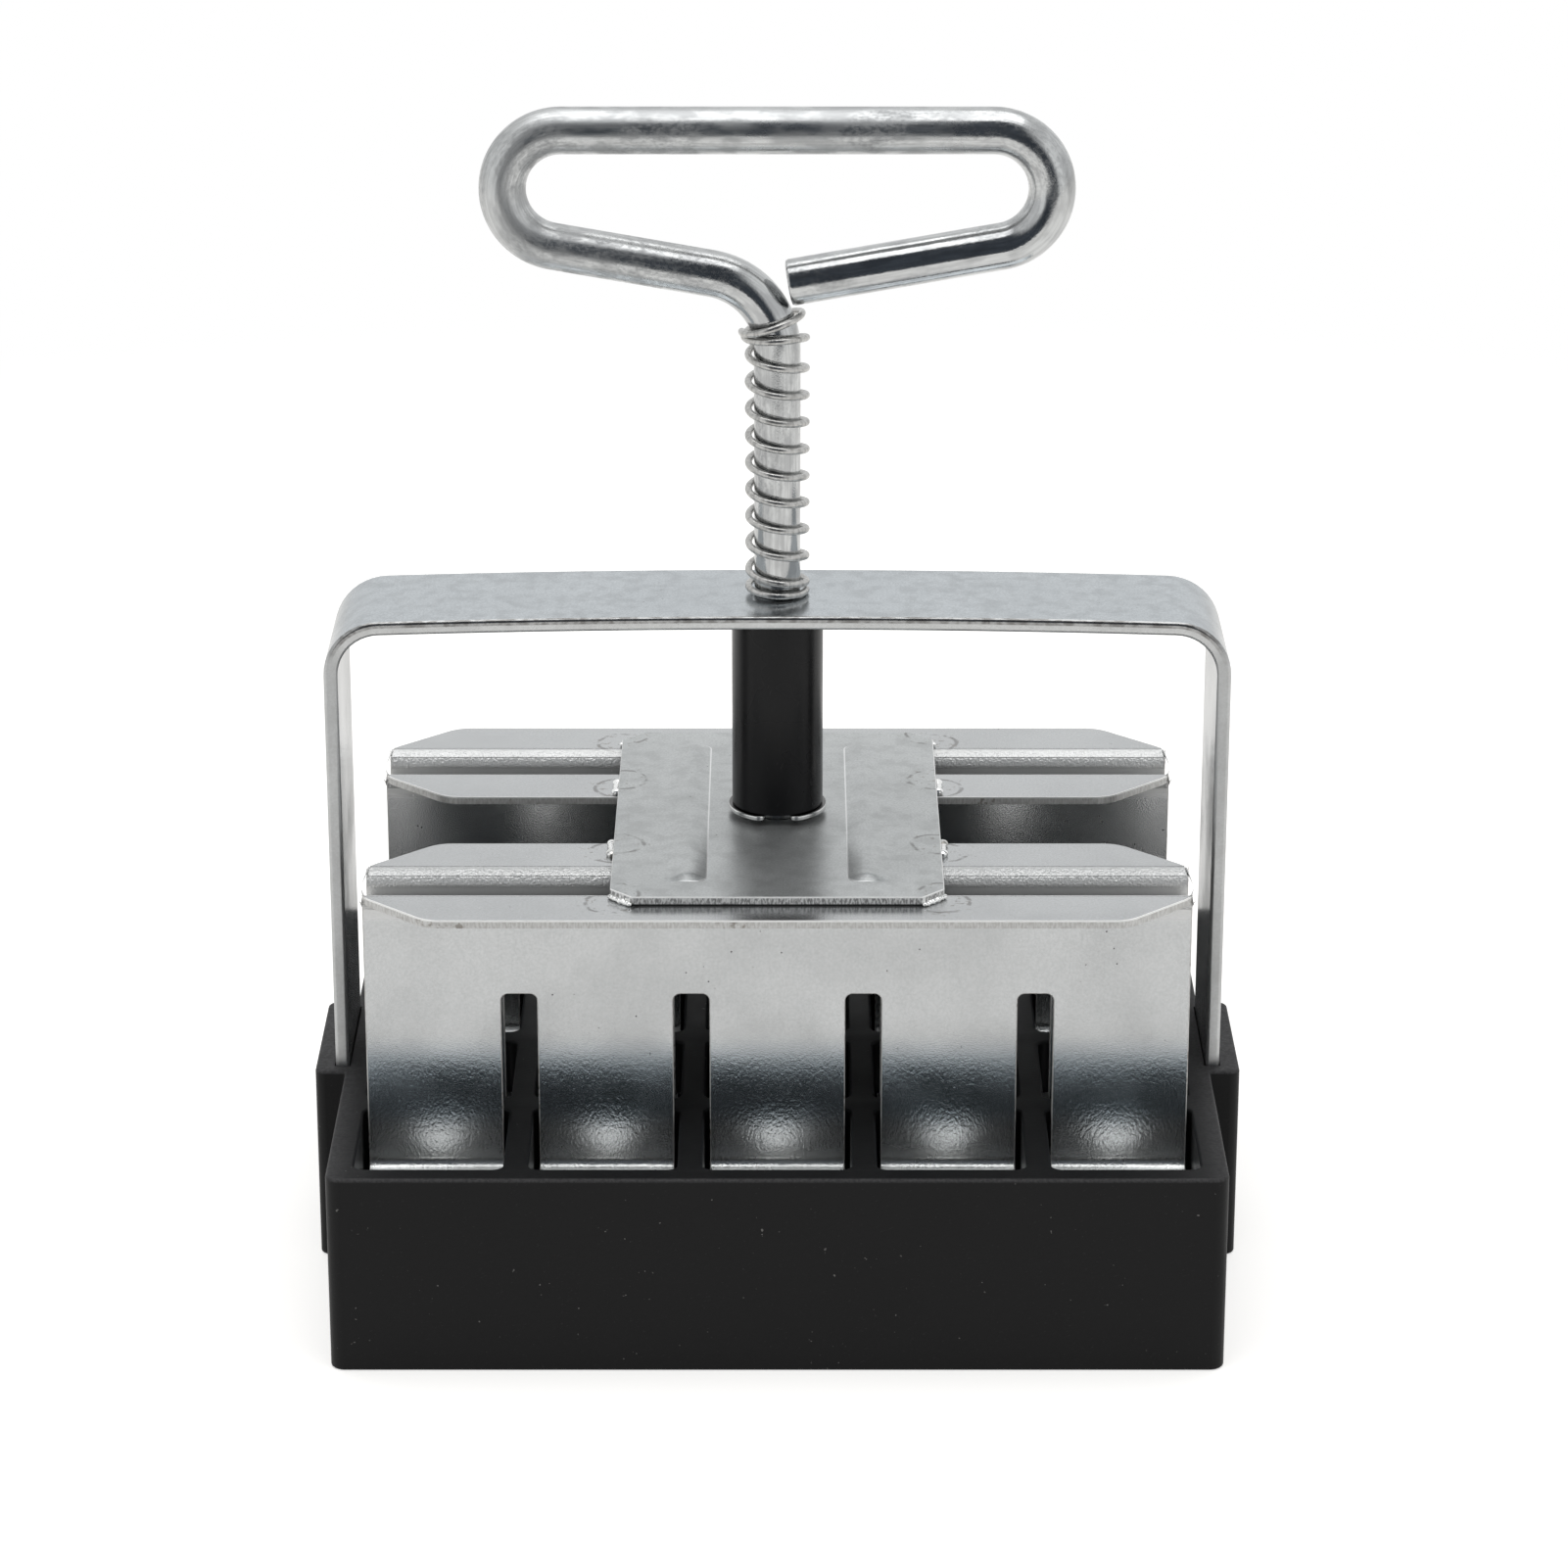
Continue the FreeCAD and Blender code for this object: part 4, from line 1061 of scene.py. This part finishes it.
strap = cut_out(closed_bar(bar, rings, "carrying_strap"),
                pin("rod_hole", ROD_R + ROD_PLAY, (0, 0, STRAP_TOP - 4), (0, 0, STRAP_TOP + 2), 64),
                pin("leg_holes", LEG_HOLE_R, (-LEG_HOLE_X, 0, SCREW_HEIGHT), (LEG_HOLE_X, 0, SCREW_HEIGHT)))

LEG_AND_EDGE_SHADE, EDGE_DARK_REFLECTION = (0.50, 0.49, 0.475), (0.10, 0.092, 0.085)
EDGE_Y = STRAP_WIDTH / 2 - 0.42
strap_zinc = zinc_plating("dull_zinc_bar", (0.60, 0.635, 0.66), 0.19, (0.1, 1, 1), 2.2, 0.3)
shader, place = opened(strap_zinc)
shader.inputs["Metallic"].default_value = 0.9
shader.inputs["Specular Tint"].default_value = (0.8, 0.8, 0.8, 1)
across = axes(mark(shader, "across_bar")["Vector"])
on_edge = ramp(off(across["Y"]), EDGE_Y * MM, (EDGE_Y + 0.12) * MM)
on_crown = ramp(axes(place)["Z"], (STRAP_TOP - 8) * MM, (STRAP_TOP - 3) * MM)
on_legs = minus(1.0, on_crown)
# Painted reflection: the upper half of the edges along the arch is painted dark brown-grey with speckle,
# standing for the dark room reflected in the rounded edge.
painted_edge_reflection = times(on_edge, ramp(across["X"], 0.05 * MM, 0.2 * MM), on_crown,
               ramp(grain(place, 0.4, 3.0, (0.3, 1, 0.3)), 0.36, 0.62, 1.0, 0.45))
# Painted shade: the legs and the edges are painted greyer and darker than the top of the strap.
feed(shader, recoated(shader, (times(larger(on_edge, on_legs), 0.6), LEG_AND_EDGE_SHADE),
                      (times(painted_edge_reflection, 0.75), EDGE_DARK_REFLECTION)),
     plus(fed(shader, "Roughness"), times(on_edge, on_legs, 0.22)))
finished(strap, "frame", "zinc_strap", "carry_strap", strap_zinc)


# ---------- return spring
# Left-hand compression spring of 1 mm drawn steel wire. It stands on the strap with a closed
# coil and follows the rod up round the start of the bend, where its last coil catches.

tree, given = new_geometry_tree(
    "coil_on_bent_rod", ("Wire", "Float", 1.0 * MM), ("Outside", "Float", 9.1 * MM), ("Turns", "Float", 11.5),
    ("Closed Turns", "Float", 1.0), ("Closed Pitch", "Float", 1.2 * MM), ("Seat", "Float", STRAP_TOP * MM),
    ("Knee Start", "Float", KNEE_START * MM), ("Knee Radius", "Float", KNEE_R * MM),
    ("Reach", "Float", 4.4 * MM), ("Opening", "Float", 0.9 * MM), ("Steps", "Int", 460))
line = made(tree, "GeometryNodeCurvePrimitiveLine", {"End": (0, 0, 1)})
fine = made(tree, "GeometryNodeResampleCurve", {"Curve": line, "Count": given["Steps"]})
turns = times(add(tree, "GeometryNodeSplineParameter").outputs["Factor"], given["Turns"])
closed = times(given["Closed Turns"], 2.0)
open_turns = minus(given["Turns"], closed)
first = plus(given["Seat"], times(given["Wire"], 0.5))
rise = minus(plus(given["Knee Start"], given["Reach"]), first)
open_pitch = maths("DIVIDE", minus(rise, times(closed, given["Closed Pitch"])), open_turns)
turns_open = maths("MINIMUM", larger(minus(turns, given["Closed Turns"]), 0.0), open_turns)
height = plus(times(minus(turns, turns_open), given["Closed Pitch"]),
              plus(first, times(turns_open, open_pitch)))
past_knee = larger(minus(height, given["Knee Start"]), 0.0)
bend = maths("DIVIDE", past_knee, given["Knee Radius"])
sine, cosine = maths("SINE", bend), maths("COSINE", bend)
middle_x = times(minus(cosine, 1.0), given["Knee Radius"])
middle_z = plus(maths("MINIMUM", height, given["Knee Start"]), times(sine, given["Knee Radius"]))
coil_r = plus(times(minus(given["Outside"], given["Wire"]), 0.5), times(bend, given["Opening"]))
angle = times(turns, -2 * pi)
sideways = times(coil_r, maths("COSINE", angle))
place = made(tree, "ShaderNodeCombineXYZ",
             {"X": plus(middle_x, times(sideways, cosine)), "Y": times(coil_r, maths("SINE", angle)),
              "Z": plus(middle_z, times(sideways, sine))})
coil = made(tree, "GeometryNodeSetPosition", {"Geometry": fine, "Position": place})
wire = made(tree, "GeometryNodeCurvePrimitiveCircle", {"Resolution": 14, "Radius": times(given["Wire"], 0.5)})
skin = made(tree, "GeometryNodeCurveToMesh", {"Curve": coil, "Profile Curve": wire, "Fill Caps": True})
close_tree(tree, given, skin)

WIRE_LIGHT, WIRE_DARK = (0.52, 0.515, 0.50), (0.35, 0.345, 0.335)
spring_wire, shader, place = new_finish("drawn_spring_wire", Metallic=1.0)
draw = grain(place, 0.5, 3.0, (1, 1, 0.4))
feed(shader, coated(WIRE_LIGHT, (ramp(draw, 0.4, 0.7), WIRE_DARK)),
     ramp(grain(place, 5.0), 0.3, 0.7, 0.24, 0.36), [(draw, 6.0)])

spring = grown(bpy.data.meshes.new("return_coil"), tree, spring_wire)
spring.data.shade_smooth()
spring.data.set_sharp_from_angle(angle=radians(60))
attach(spring, "frame")
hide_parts("return_spring")
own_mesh(spring)
